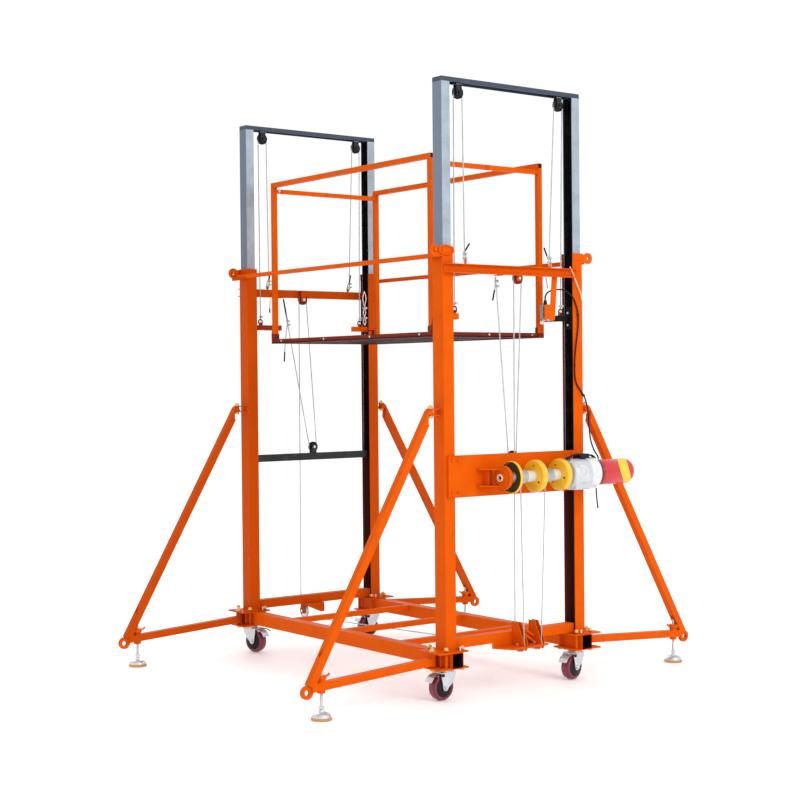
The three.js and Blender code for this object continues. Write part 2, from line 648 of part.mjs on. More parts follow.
// From its clamp on the head beam, over a mast-top sheave and down to a slider arm.
function liftRope(out, sheaveX, anchorX) {
  const side = Math.sign(sheaveX);
  const centre = at(sheaveX, outward(out, 0), LIFT_SHEAVE.z);
  const over = arcPoints(centre, LIFT_SHEAVE.pitch, 90 + side * 90, 90 - side * 90, 'xz');
  const anchorY = outward(out, POST.web / 2 + 14);
  return ropeAlong([
    at(anchorX + 12, anchorY - out * 4, headBottom(out) + HEAD.high + 32),
    at(anchorX + 4, anchorY - out * 10, headBottom(out) + HEAD.high + 70),
    ...over,
    at(side * 360, outward(out, -6), 1944),
  ]);
}

// ---------------------------------------------------------------- cables
const SWITCH_CABLE = [
  [228, 20, 1998], [230, 20, 2020], [248, 22, 2042], [300, 25, 2056], [350, 38, 2052],
  [392, 48, 2022], [420, 49, 1978], [434, 49, 1925], [434, 49, 1868], [424, 49, 1800],
  [412, 49, 1728], [407, 49, 1660], [408, 49, 1605], [420, 49, 1562], [444, 49, 1530],
  [470, 50, 1500], [486, 54, 1456], [492, 60, 1400], [490, 68, 1330], [486, 84, 1262],
  [482, 112, 1212], [478, 140, 1186], [476, 150, 1167.5],
];
const MOTOR_LEAD = [
  [414, 196, 1021], [414, 196, 1008], [414.5, 196.5, 995], [415.5, 197, 980],
  [416.5, 197.5, 965], [418, 198, 950], [420, 198.5, 935], [422, 199, 918],
];

function cable(route, radius, steps) {
  const points = route.map(([x, depth, z]) => at(x, outward(-1, depth), z));
  return strand(new THREE.CatmullRomCurve3(points), radius, steps);
}

// ---------------------------------------------------------------- assembly
addMesh('base_frame', baseFrame(), ORANGE);
for (const { name, out } of TOWERS) {
  addMesh(`sill_beam_${name}`, sillBeam(out), ORANGE);
  const headX = HEAD_SHEAVE[name];
  const anchors = [LIFT_ANCHOR[`${name}_left`], LIFT_ANCHOR[`${name}_right`]];
  addMesh(`head_beam_${name}`, headBeam(out, anchors, headX), ORANGE);
  const mast = groupAt(0, outward(out, 0), 0);
  addMesh(`mast_${name}`, mastFrame(), MAST_GREY, mast);
  const headSheave = groupAt(headX, outward(out, HEAD_SHEAVE.depth), headSheaveZ(out));
  addMesh(`head_sheave_${name}`, sheave('y', LOFT_SHEAVE.pitch), ZINC, headSheave);
  const footSheave = groupAt(FOOT_SHEAVE.x, outward(out, 0), FOOT_SHEAVE.z);
  addMesh(`mast_foot_sheave_${name}`, sheave('y', LOFT_SHEAVE.pitch), ZINC, footSheave);
  for (const { name: hand, side } of SIDES) {
    const corner = `${name}_${hand}`;
    const post = groupAt(0, outward(out, 0), 0, side < 0 ? Math.PI : 0);
    addMesh(`post_${corner}`, postBody(out * side), ORANGE, post);
    const liftSheave = groupAt(side * LIFT_SHEAVE[hand], outward(out, 0), LIFT_SHEAVE.z);
    addMesh(`lift_sheave_${corner}`, sheave('y', LIFT_SHEAVE.pitch), ZINC, liftSheave);
    addMesh(`lift_rope_${corner}`,
      liftRope(out, side * LIFT_SHEAVE[hand], LIFT_ANCHOR[corner]), STEEL_ROPE);
    const swing = groupAt(side * PIN_X, outward(out, 0), 0, side < 0 ? Math.PI : 0);
    addMesh(`outrigger_${corner}`, outrigger(), ORANGE, swing);
    const jack = groupAt(side * JACK_X, outward(out, 0), 0);
    addMesh(`levelling_jack_${corner}`, levellingJack(), ZINC, jack);
  }
}
for (const { name, side } of SIDES) {
  const x = side * (HALF_WIDTH + 17);
  const end = HALF_SPAN + POST.web / 2 - 8 - GAP;
  addMesh(`tie_bar_${name}`, block(x - 10, x + 10, -end, end, 2194, 2216), ORANGE);
  addMesh(`side_rail_${name}`, sideRail(side), ORANGE);
}
addMesh('platform_frame', platformFrame(), MAROON);
addMesh('deck_board', deckBoard(), BOARD);
addMesh('end_rail_near', endRail(-1), ORANGE);
addMesh('end_rail_far', endRail(1), ORANGE);

// caster swivel angles as the machine stands: the wheel trails along (cos, sin) of each angle
const CASTER_TURNS = { near_left: 182, near_right: 192, far_left: 285, far_right: 178 };
for (const { name, out } of TOWERS) {
  for (const { name: hand, side } of SIDES) {
    const corner = `${name}_${hand}`;
    const turn = THREE.MathUtils.degToRad(CASTER_TURNS[corner] - 180);
    const caster = groupAt(side * BEAM_X, outward(out, 0), 0, turn);
    addMesh(`caster_fork_${corner}`, casterFork(), ZINC, caster);
    const wheel = addMesh(`caster_wheel_${corner}`, casterWheel(), TREAD, caster);
    wheel.position.set(-WHEEL.trail, 0, WHEEL.radius);
  }
}

addMesh('winch_plate', winchPlate(), ORANGE);
const drum = groupAt(0, outward(-1, WINCH.depth), WINCH.z);
addMesh('winch_drum', winchDrum(), YELLOW, drum);
addMesh('gear_motor', gearMotor(), SILVER);
addMesh('motor_cover', motorCover(), RED);
addMesh('limit_switch', limitSwitch(), ORANGE);
addMesh('limit_lever', limitLever(), ZINC);
for (const [name, where] of Object.entries(BASE_SHEAVES)) {
  const mount = groupAt(where.x, where.y, where.z);
  addMesh(`base_sheave_${name}`, sheave('x', BASE_SHEAVE.pitch), ZINC, mount);
}
addMesh('winch_rope_near', winchRopeNear(), STEEL_ROPE);
addMesh('winch_rope_far', winchRopeFar(), STEEL_ROPE);
addMesh('switch_cable', cable(SWITCH_CABLE, 4, 34), BLACK);
addMesh('motor_lead', cable(MOTOR_LEAD, 3.5, 10), BLACK);

// The origin is under the middle of the bounding box: the winch stands proud on the near side.
const NEAR_EXTENT = HALF_SPAN + WINCH.depth + 83;
lift.position.y = (NEAR_EXTENT - BEAM.half) / 2;

export default lift;
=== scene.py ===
import json
import math

import bmesh
import bpy
from mathutils import Matrix, Vector

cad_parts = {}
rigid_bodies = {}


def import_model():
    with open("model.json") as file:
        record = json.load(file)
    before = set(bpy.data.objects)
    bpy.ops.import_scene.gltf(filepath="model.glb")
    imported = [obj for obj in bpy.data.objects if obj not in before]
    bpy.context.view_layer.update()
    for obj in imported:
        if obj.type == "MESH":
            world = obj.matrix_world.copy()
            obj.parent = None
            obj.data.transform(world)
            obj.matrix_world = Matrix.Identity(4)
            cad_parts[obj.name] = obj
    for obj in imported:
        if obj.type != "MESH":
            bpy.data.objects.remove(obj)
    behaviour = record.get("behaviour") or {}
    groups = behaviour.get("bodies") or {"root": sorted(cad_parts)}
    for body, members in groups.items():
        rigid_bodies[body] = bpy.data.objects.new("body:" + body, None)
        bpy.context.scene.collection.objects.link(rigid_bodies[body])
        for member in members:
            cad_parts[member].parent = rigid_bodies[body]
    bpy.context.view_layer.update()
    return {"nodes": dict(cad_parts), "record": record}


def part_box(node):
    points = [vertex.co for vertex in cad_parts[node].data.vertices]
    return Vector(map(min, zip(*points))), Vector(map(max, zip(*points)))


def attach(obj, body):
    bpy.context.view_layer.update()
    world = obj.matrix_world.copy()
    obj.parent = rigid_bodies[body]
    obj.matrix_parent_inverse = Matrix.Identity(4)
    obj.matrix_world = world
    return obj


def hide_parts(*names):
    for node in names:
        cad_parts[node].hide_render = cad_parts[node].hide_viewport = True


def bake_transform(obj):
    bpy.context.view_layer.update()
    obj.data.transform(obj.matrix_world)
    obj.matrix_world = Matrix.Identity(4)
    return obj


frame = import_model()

# ------------------------------------------------------------------ places from the frame
RECORD = frame["record"]
JOINTS = {joint["name"]: joint for joint in RECORD["behaviour"]["joints"]}
TOWERS = (("near", -1), ("far", 1))
SIDES = (("left", -1), ("right", 1))
CORNERS = [(f"{t}_{s}", t, out, side) for t, out in TOWERS for s, side in SIDES]


def middle(node):
    """Centre of a CAD node's box."""
    low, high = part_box(node)
    return (Vector(low) + Vector(high)) / 2


def pivot(joint):
    """Where a joint's axis passes."""
    return Vector(JOINTS[joint]["pos_m"])


TOWER_Y = {name: middle(f"mast_{name}").y for name, _ in TOWERS}
BEAM_LOW, BEAM_HIGH = (Vector(v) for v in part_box("base_frame"))
POST_FACE = 0.471                               # tower centre line to a post's outer face
POST_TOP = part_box("post_near_right")[1][2]
PLATE_LOW, PLATE_HIGH = 0.1603, 0.2469          # outer faces of the corner clamp plates
MAST_HIGH = Vector(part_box("mast_near")[1])
HEAD_BOTTOM = {t: pivot(f"head_sheave_{t}_spin").z + 0.011 for t, _ in TOWERS}
HEAD_TALL = 0.046                               # height of a head beam
LIFT_ANCHOR = {"near_left": -0.338, "near_right": 0.231, "far_left": -0.270,
               "far_right": 0.318}
DECK_HALF = 0.380
DECK_END = 0.750
DECK_Y = middle("deck_board").y
DECK_TOP = 1.835
RAIL_TOP = 2.742
RAIL_HALF = 0.0135                              # half the side of a guard rail's tube
GATE = (-0.338, 2.695)                          # x and z of an end rail's bolt
ROPE = 0.003                                    # rope radius
DRUM = pivot("winch_drum_spin")


def outward(tower, distance):
    """y of a plane at a distance outward from a tower's centre plane."""
    return TOWER_Y[tower] + (distance if tower == "far" else -distance)


# ------------------------------------------------------------------ camera
def place_camera():
    """The photograph's view: where the camera stands, how it is turned, and its lens."""
    azimuth, elevation, roll = (math.radians(a) for a in (-37.103, 0.727, -0.543))
    back = Vector((math.sin(azimuth) * math.cos(elevation),
                   -math.cos(azimuth) * math.cos(elevation), math.sin(elevation)))
    right = (-back).cross(Vector((0, 0, 1))).normalized()
    up = right.cross(-back)
    across = math.cos(roll) * right + math.sin(roll) * up
    above = -math.sin(roll) * right + math.cos(roll) * up
    camera = bpy.data.objects.new("camera", bpy.data.cameras.new("camera"))
    basis = Matrix((across, above, back)).transposed().to_4x4()
    camera.matrix_world = Matrix.Translation((-5.3576, -6.9886, 1.5915)) @ basis
    camera.data.lens = 71.28
    camera.data.sensor_width = 36.0
    bpy.context.scene.collection.objects.link(camera)
    bpy.context.scene.camera = camera


# ------------------------------------------------------------------ materials
def node_maker(tree):
    """A function that adds a shader node; an input given as a socket is linked."""
    def make(kind, inputs=None, **settings):
        made = tree.nodes.new(kind)
        for key, value in settings.items():
            setattr(made, key, value)
        for key, value in (inputs or {}).items():
            if isinstance(value, bpy.types.NodeSocket):
                tree.links.new(value, made.inputs[key])
            else:
                made.inputs[key].default_value = value
        return made
    return make


def rgba(colour, gain=1.0):
    return tuple(min(1.0, c * gain) for c in colour) + (1.0,)


def mixed(tree, factor, first, second):
    """Colour that goes from first to second as factor goes from 0 to 1."""
    mix = node_maker(tree)("ShaderNodeMix", data_type="RGBA")
    tree.links.new(factor, mix.inputs["Factor"])
    for key, value in (("A", first), ("B", second)):
        if isinstance(value, bpy.types.NodeSocket):
            tree.links.new(value, mix.inputs[key])
        else:
            mix.inputs[key].default_value = value
    return mix.outputs["Result"]


def inside_box(make, place, low, high):
    """1 inside an axis-aligned box of the piece's own space, and 0 outside."""
    split = make("ShaderNodeSeparateXYZ", {"Vector": place})
    inside = None
    for axis in range(3):
        centre = (low[axis] + high[axis]) / 2
        reach = (high[axis] - low[axis]) / 2
        near = make("ShaderNodeMath", {0: split.outputs[axis], 1: centre, 2: reach},
                    operation="COMPARE").outputs[0]
        if inside is None:
            inside = near
        else:
            inside = make("ShaderNodeMath", {0: inside, 1: near},
                          operation="MULTIPLY").outputs[0]
    return inside


def surface(name, colour, rough, metal=0.0, vary=0.12, scale=9.0, scuff=None, grime=0.25,
            bump=0.0004, grain=380.0, coat=0.0, shine=0.5, regions=()):
    """Painted, plated or moulded finish: blotchy tone, fine grain, scuffs and settled grime.

    regions are (low corner, high corner, colour): stretches of the piece in another colour, some
    of them painted shade.
    """
    material = bpy.data.materials.new(name)
    material.use_nodes = True
    material.diffuse_color = rgba(colour)
    tree = material.node_tree
    make = node_maker(tree)
    shader = tree.nodes["Principled BSDF"]
    place = make("ShaderNodeTexCoord").outputs["Object"]
    blotch = make("ShaderNodeTexNoise", {"Vector": place, "Scale": scale, "Detail": 5.0,
                                         "Roughness": 0.6})
    fine = make("ShaderNodeTexNoise", {"Vector": place, "Scale": grain, "Detail": 3.0})
    spread = make("ShaderNodeMapRange", {"Value": blotch.outputs["Fac"], "From Min": 0.32,
                                         "From Max": 0.6})
    result = mixed(tree, spread.outputs[0], rgba(colour, 1.0 - vary * 2), rgba(colour))
    for low, high, other in regions:
        result = mixed(tree, inside_box(make, place, low, high), result, rgba(other))
    if scuff:
        marks = make("ShaderNodeTexNoise", {"Vector": place, "Scale": scale * 5.5,
                                            "Detail": 9.0, "Roughness": 0.72})
        few = make("ShaderNodeMapRange", {"Value": marks.outputs["Fac"], "From Min": 0.66,
                                          "From Max": 0.71})
        result = mixed(tree, few.outputs[0], result, rgba(scuff))
    if grime:
        dirt = make("ShaderNodeTexNoise", {"Vector": place, "Scale": scale * 2.1,
                                           "Detail": 7.0, "Roughness": 0.65})
        settled = make("ShaderNodeMapRange", {"Value": dirt.outputs["Fac"], "From Min": 0.5,
                                              "From Max": 0.78, "To Max": grime})
        result = mixed(tree, settled.outputs[0], result, rgba(colour, 0.35))
    tree.links.new(result, shader.inputs["Base Color"])
    gloss = make("ShaderNodeMapRange", {"Value": blotch.outputs["Fac"], "From Min": 0.3,
                                        "From Max": 0.7, "To Min": rough * 0.8,
                                        "To Max": min(1.0, rough * 1.3)})
    tree.links.new(gloss.outputs[0], shader.inputs["Roughness"])
    relief = make("ShaderNodeBump", {"Height": fine.outputs["Fac"], "Strength": 0.35,
                                     "Distance": bump})
    tree.links.new(relief.outputs["Normal"], shader.inputs["Normal"])
    shader.inputs["Metallic"].default_value = metal
    shader.inputs["Specular IOR Level"].default_value = shine
    shader.inputs["Coat Weight"].default_value = coat
    shader.inputs["Coat Roughness"].default_value = 0.12
    return material


def wire_rope_material():
    """Laid steel strands: a fine slanted wave along the rope gives bright and dark lays."""
    material = surface("wire_rope", (0.55, 0.56, 0.57), 0.40, 0.70, vary=0.15, scale=14.0)
    tree = material.node_tree
    make = node_maker(tree)
    shader = tree.nodes["Principled BSDF"]
    place = make("ShaderNodeTexCoord").outputs["Object"]
    wave = make("ShaderNodeTexWave", {"Vector": place, "Scale": 120.0, "Distortion": 0.4},
                bands_direction="DIAGONAL")
    relief = make("ShaderNodeBump", {"Height": wave.outputs["Fac"], "Strength": 0.9,
                                     "Distance": 0.0008})
    tree.links.new(relief.outputs["Normal"], shader.inputs["Normal"])
    return material


ORANGE_RGB = (0.71, 0.096, 0.001)
# The far tower's orange, darkened as painted shade.
FAR_ORANGE_SHADE_RGB = (0.55, 0.068, 0.001)
MAROON_RGB = (0.20, 0.026, 0.013)
DARK_RED_RGB = (0.30, 0.035, 0.014)
SLATE_RGB = (0.040, 0.055, 0.090)
MASTS_RGB = (0.36, 0.43, 0.50)
# Painted shade on the masts' outer web faces, darker on the far tower.
WEB_SHADE_RGB = (0.165, 0.20, 0.265)
WEB_FAR_SHADE_RGB = (0.12, 0.15, 0.21)
BLACK_RGB = (0.012, 0.012, 0.014)
SHADE_RGB = (0.014, 0.010, 0.012)
POST_SHADE_RGB = (0.085, 0.026, 0.022)


def mast_regions():
    """Dark top and foot bars and sheave brackets, bluish painted shade on the outer webs and
    painted shade in the channel insides.
    """
    half = MAST_HIGH.x
    regions = []
    for name, _ in TOWERS:
        y = TOWER_Y[name]
        regions.append(((-half - 0.01, y - 0.05, 3.0667), (half + 0.01, y + 0.05, 3.1),
                        SLATE_RGB))
        regions.append(((-0.46, y - 0.0175, 1.1135), (0.46, y + 0.0175, 1.225), BLACK_RGB))
        for hand, side in SIDES:
            x = pivot(f"lift_sheave_{name}_{hand}_spin").x
            regions.append(((x - 0.02, y - 0.016, 3.0), (x + 0.02, y + 0.016, 3.062),
                            BLACK_RGB))
            # The outer web faces in painted shade, the channel insides in deeper painted shade.
            web = sorted((side * 0.4634, side * 0.4660))
            inner = sorted((side * 0.4138, side * 0.4613))
            shade = WEB_SHADE_RGB if name == "near" else WEB_FAR_SHADE_RGB
            regions.append(((web[0], y - 0.0355, 1.08), (web[1], y + 0.0355, 3.0665), shade))
            regions.append(((inner[0], y - 0.0322, 1.08), (inner[1], y + 0.0322, 3.0665),
                            SHADE_RGB))
    return regions


def post_regions():
    """Painted shade: the far posts a shade darker, and the inner faces of all four dark."""
    regions = [((-1.0, 0.5, 0.0), (1.0, 1.5, 3.0), FAR_ORANGE_SHADE_RGB)]
    for name, _ in TOWERS:
        for side in (-1, 1):
            inner = sorted((side * 0.4052, side * 0.4673))
            regions.append(((inner[0], TOWER_Y[name] - 0.0382, PLATE_HIGH),
                            (inner[1], TOWER_Y[name] + 0.0382, POST_TOP - 0.001),
                            POST_SHADE_RGB))
    return regions


def base_regions():
    """Painted shade in the insides of the two long base beams."""
    return [((side * 0.439 - 0.0292, -1.2, 0.1712), (side * 0.439 + 0.0292, 1.3, 0.2354),
             SHADE_RGB) for side in (-1, 1)]


def platform_regions():
    """Slider arms in orange, and black slider blocks inside the mast channels."""
    regions = []
    for name, _ in TOWERS:
        y = TOWER_Y[name]
        regions.append(((-0.5, y - 0.08, 1.78), (0.5, y + 0.08, 2.0), ORANGE_RGB))
        for side in (-1, 1):
            x = sorted((side * 0.4155, side * 0.4580))
            regions.append(((x[0], y - 0.032, 1.845), (x[1], y + 0.032, 1.975), BLACK_RGB))
    near, far = TOWER_Y["near"], TOWER_Y["far"]
    regions.append(((0.320, near - 0.002, 1.890), (0.420, near + 0.03, 1.924), BLACK_RGB))
    regions.append(((0.335, near + 0.05, 1.8352), (0.390, near + 0.20, 1.900), ORANGE_RGB))
    regions.append(((-0.420, far - 0.03, 1.890), (-0.200, far + 0.002, 1.924), DARK_RED_RGB))
    return regions


def make_materials():
    black = dict(vary=0.1, grime=0.1, shine=0.2)
    enamel = dict(vary=0.05, grime=0.12, scuff=(0.85, 0.33, 0.10), shine=0.03)
    made = {
        "orange": surface("orange_paint", ORANGE_RGB, 0.36, **enamel),
        # far: the same orange with painted shade, for the far tower.
        "far": surface("orange_paint_far", FAR_ORANGE_SHADE_RGB, 0.36, **enamel),
        "base": surface("orange_paint_base", ORANGE_RGB, 0.36, regions=base_regions(),
                        **enamel),
        "post": surface("orange_paint_posts", ORANGE_RGB, 0.36, regions=post_regions(),
                        **enamel),
        "mast": surface("mast_paint", MASTS_RGB, 0.36, 0.35, vary=0.1, scuff=(0.5, 0.55, 0.6),
                        regions=mast_regions()),
        "black": surface("black_paint", BLACK_RGB, 0.45, 0.1, **black),
        "maroon": surface("maroon_paint", MAROON_RGB, 0.45, vary=0.15, shine=0.1),
        "platform": surface("maroon_paint_platform", MAROON_RGB, 0.45, vary=0.15, shine=0.04,
                            regions=platform_regions()),
        # deck: the lowest band of the board, its underside included, in painted shade.
        "deck": surface("deck_panel", (0.16, 0.018, 0.010), 0.6, scuff=(0.22, 0.06, 0.035),
                        vary=0.2, scale=5.0, shine=0.04,
                        regions=[((-1.0, -1.2, 1.812), (1.0, 1.2, 1.8165), SHADE_RGB)]),
        "yellow": surface("winch_yellow", (0.90, 0.50, 0.012), 0.36, vary=0.08, coat=0.2,
                          scuff=(0.95, 0.75, 0.35)),
        # The hollow of the left drum flange: the flange's yellow in painted shade.
        "olive": surface("dark_olive_paint", (0.045, 0.045, 0.012), 0.6, vary=0.2),
        "core": surface("drum_core_steel", (0.78, 0.79, 0.80), 0.32, 0.35, vary=0.08),
        "casting": surface("motor_casting", (0.60, 0.63, 0.66), 0.42, 0.25, vary=0.08,
                           scale=16.0, bump=0.001, grain=240.0),
        "red": surface("red_cover", (0.60, 0.012, 0.022), 0.3, vary=0.08, coat=0.4, regions=[
            ((0.4, -2.0, 0.9), (0.462, 0.0, 1.3), (0.22, 0.005, 0.010)),
            ((0.672, -2.0, 0.9), (0.8, 0.0, 1.3), (0.75, 0.060, 0.015))]),
        "band": surface("yellow_band", (0.90, 0.55, 0.03), 0.4, vary=0.06),
        "zinc": surface("zinc_plate", (0.66, 0.69, 0.72), 0.28, 0.75, vary=0.1, scale=22.0,
                        scuff=(0.4, 0.4, 0.38)),
        "gilt": surface("yellow_zinc", (0.85, 0.55, 0.20), 0.32, 0.6, vary=0.12, scale=22.0),
        "rope": wire_rope_material(),
        # cord: a cream cord that also stands in for a painted highlight.
        "cord": surface("cream_cord", (0.85, 0.62, 0.42), 0.8, vary=0.08, bump=0.001),
        "white": surface("white_rope", (0.78, 0.76, 0.70), 0.8, vary=0.08, bump=0.001),
        "tread": surface("caster_tread", (0.20, 0.010, 0.035), 0.32, vary=0.14, coat=0.15),
        "cover": surface("caster_cover", (0.010, 0.010, 0.011), 0.5, **black),
        "pad": surface("foot_pad", (0.62, 0.30, 0.09), 0.75, vary=0.15, bump=0.001),
        "cable": surface("black_cable", (0.008, 0.008, 0.009), 0.55, **black),
        "hollow": surface("shaded_bore", (0.010, 0.006, 0.005), 0.9, **black),
        "grey": surface("switch_grey", (0.24, 0.25, 0.25), 0.5, vary=0.1),
    }
    return made


# ------------------------------------------------------------------ mesh building
def frame_along(axis):
    """Two unit vectors square to an axis."""
    axis = axis.normalized()
    helper = Vector((0, 0, 1)) if abs(axis.z) < 0.9 else Vector((1, 0, 0))
    first = axis.cross(helper).normalized()
    return first, axis.cross(first)


def ring_pairs(rings, closed):
    """Neighbouring rings, with the last joined to the first where the row is closed."""
    return list(zip(rings, rings[1:])) + ([(rings[-1], rings[0])] if closed else [])


class Build:
    """Collects closed bodies into one mesh; place() may move them all at the end."""

    def __init__(self):
        self.mesh = bmesh.new()

    def hull(self, low, high):
        """Axis-aligned box between two corners."""
        centre = (Vector(low) + Vector(high)) / 2
        size = [abs(b - a) for a, b in zip(low, high)]
        place = Matrix.Translation(centre) @ Matrix.Diagonal((*size, 1.0))
        bmesh.ops.create_cube(self.mesh, size=1.0, matrix=place)
        return self

    def bar(self, start, end, width, depth, side=None):
        """Rectangular bar from start to end; side is the direction of its width."""
        start, end = Vector(start), Vector(end)
        along = (end - start).normalized()
        first = Vector(side).normalized() if side else frame_along(along)[0]
        second = along.cross(first).normalized()
        turn = Matrix((first * width, second * depth, end - start)).transposed().to_4x4()
        bmesh.ops.create_cube(self.mesh, size=1.0,
                              matrix=Matrix.Translation((start + end) / 2) @ turn)
        return self

    def ring(self, centre, radius, first, second, sides):
        """Vertices round a circle in the plane of two unit vectors."""
        made = []
        for i in range(sides):
            angle = 2 * math.pi * i / sides
            spoke = first * math.cos(angle) + second * math.sin(angle)
            made.append(self.mesh.verts.new(centre + spoke * radius))
        return made

    def lathe(self, origin, axis, profile, sides=40, closed=False):
        """Revolve (radius, height) pairs about an axis through origin."""
        origin, axis = Vector(origin), Vector(axis).normalized()
        first, second = frame_along(axis)
        rings = []
        for radius, height in profile:
            centre = origin + axis * height
            if radius < 1e-6:
                rings.append([self.mesh.verts.new(centre)])
                continue
            rings.append(self.ring(centre, radius, first, second, sides))
        for a, b in ring_pairs(rings, closed):
            for i in range(sides):
                j = (i + 1) % sides
                corners = [a[i % len(a)], a[j % len(a)], b[j % len(b)], b[i % len(b)]]
                unique = list(dict.fromkeys(corners))
                if len(unique) > 2:
                    self.mesh.faces.new(unique)
        return self

    def rod(self, start, end, radius, sides=24, chamfer=0.0):
        start, end = Vector(start), Vector(end)
        length = (end - start).length
        c = min(chamfer, radius * 0.6, length * 0.4)
        profile = [(0, 0), (radius - c, 0), (radius, c), (radius, length - c),
                   (radius - c, length), (0, length)]
        if c == 0:
            profile = [(0, 0), (radius, 0), (radius, length), (0, length)]
        return self.lathe(start, end - start, profile, sides)

    def hexagon(self, centre, axis, across, height):
        """Hexagonal nut or bolt head standing on centre, pointing along axis."""
        r = across / math.sqrt(3)
        c = across * 0.07
        return self.lathe(centre, axis, [(0, 0), (r, 0), (r, height - c), (r - c, height),
                                         (0, height)], 6)

    def tube(self, points, radius, sides=12, closed=False):
        """Round tube along points, with capped ends unless it closes on itself."""
        points = [Vector(p) for p in points]
        count = len(points)
        rings = []
        first = None
        for i, point in enumerate(points):
            ahead = points[(i + 1) % count] if closed or i < count - 1 else point
            behind = points[i - 1] if closed or i > 0 else point
            along = (ahead - behind).normalized()
            if first is None:
                first = frame_along(along)[0]
            first = (first - along * first.dot(along)).normalized()
            second = along.cross(first)
            rings.append(self.ring(point, radius, first, second, sides))
        for a, b in ring_pairs(rings, closed):
            for k in range(sides):
                n = (k + 1) % sides
                self.mesh.faces.new((a[k], a[n], b[n], b[k]))
        if not closed:
            self.mesh.faces.new(rings[0][::-1])
            self.mesh.faces.new(rings[-1])
        return self

    def plate(self, outline, normal, low, high):
        """Flat plate: outline points lie in the plane square to normal ('x', 'y' or 'z')."""
        order = {"x": lambda a, b, t: (t, a, b), "y": lambda a, b, t: (a, t, b),
                 "z": lambda a, b, t: (a, b, t)}[normal]
        rings = [[self.mesh.verts.new(order(a, b, t)) for a, b in outline]
                 for t in (low, high)]
        count = len(outline)
        for i in range(count):
            j = (i + 1) % count
            self.mesh.faces.new((rings[0][i], rings[0][j], rings[1][j], rings[1][i]))
        self.mesh.faces.new(rings[0][::-1])
        self.mesh.faces.new(rings[1])
        return self

    def place(self, matrix):
        bmesh.ops.transform(self.mesh, matrix=matrix, verts=self.mesh.verts)
        return self

    def piece(self, name, look, body, replaces=(), bevel=0.0, smooth=35.0):
        """Turn the mesh into a named object that rides on a body."""
        bmesh.ops.recalc_face_normals(self.mesh, faces=self.mesh.faces)
        data = bpy.data.meshes.new(name)
        self.mesh.to_mesh(data)
        self.mesh.free()
        made = bpy.data.objects.new(name, data)
        bpy.context.scene.collection.objects.link(made)
        data.materials.append(LOOKS[look])
        finish_edges(made, bevel, smooth)
        if body:
            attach(made, body)
        if replaces:
            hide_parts(*replaces)
        return made


def round_edges(made, width, angle):
    """Round every edge sharper than an angle in degrees."""
    modifier = made.modifiers.new("edges", "BEVEL")
    modifier.width = width
    modifier.segments = 2
    modifier.limit_method = "ANGLE"
    modifier.angle_limit = math.radians(angle)


def finish_edges(made, bevel, smooth):
    """Rounded edges by a bevel modifier, and smooth shading below an angle."""
    if bevel:
        round_edges(made, bevel, 40)
    limit = math.cos(math.radians(smooth))
    work = bmesh.new()
    work.from_mesh(made.data)
    for edge in work.edges:
        faces = edge.link_faces
        edge.smooth = len(faces) == 2 and faces[0].normal.dot(faces[1].normal) > limit
    for face in work.faces:
        face.smooth = True
    work.to_mesh(made.data)
    work.free()


def turned(x, y, z, turn=0.0):
    """A move to a place after a turn about the vertical."""
    return Matrix.Translation((x, y, z)) @ Matrix.Rotation(turn, 4, "Z")


# ------------------------------------------------------------------ carried-over CAD nodes
CAD_LOOKS = {
    "orange": ["sill_beam_near", "head_beam_near", "tie_bar_left", "tie_bar_right",
               "winch_plate", "side_rail_left", "side_rail_right", "end_rail_near",
               "end_rail_far", "outrigger_near_left", "outrigger_near_right"],
    # far: the far tower's beams and outriggers in orange with painted shade.
    "far": ["sill_beam_far", "head_beam_far", "outrigger_far_left", "outrigger_far_right"],
    "base": ["base_frame"],
    "post": [f"post_{corner}" for corner, *_ in CORNERS],
    "mast": ["mast_near", "mast_far"],
    "platform": ["platform_frame"],
    "deck": ["deck_board"],
    "zinc": ["limit_lever"],
}


def dress_cad():
    """Looks and rounded edges for the CAD nodes that are shown as they are."""
    for look, nodes in CAD_LOOKS.items():
        for node in nodes:
            made = frame["nodes"][node]
            made.data.materials.clear()
            made.data.materials.append(LOOKS[look])
            round_edges(made, 0.0012, 50)


# ------------------------------------------------------------------ ropes
def arc(centre, radius, start, end, plane, steps=14):
    """Points on an arc between two angles in degrees, in the xz or yz plane."""
    points = []
    for i in range(steps + 1):
        angle = math.radians(start + (end - start) * i / steps)
        a, b = radius * math.cos(angle), radius * math.sin(angle)
        if plane == "xz":
            points.append(centre + Vector((a, 0, b)))
        else:
            points.append(centre + Vector((0, a, b)))
    return points


def run(name, start, end, bodies, replaces=()):
    """A straight stretch of rope between two bodies, or on one."""
    start, end = Vector(start), Vector(end)
    count = 2 if len(bodies) == 2 else 8
    points = [start.lerp(end, i / (count - 1)) for i in range(count)]
    one_body = bodies[0] if len(bodies) == 1 else None
    made = Build().tube(points, ROPE).piece(name, "rope", one_body, replaces)
    if len(bodies) == 2:
        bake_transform(made)


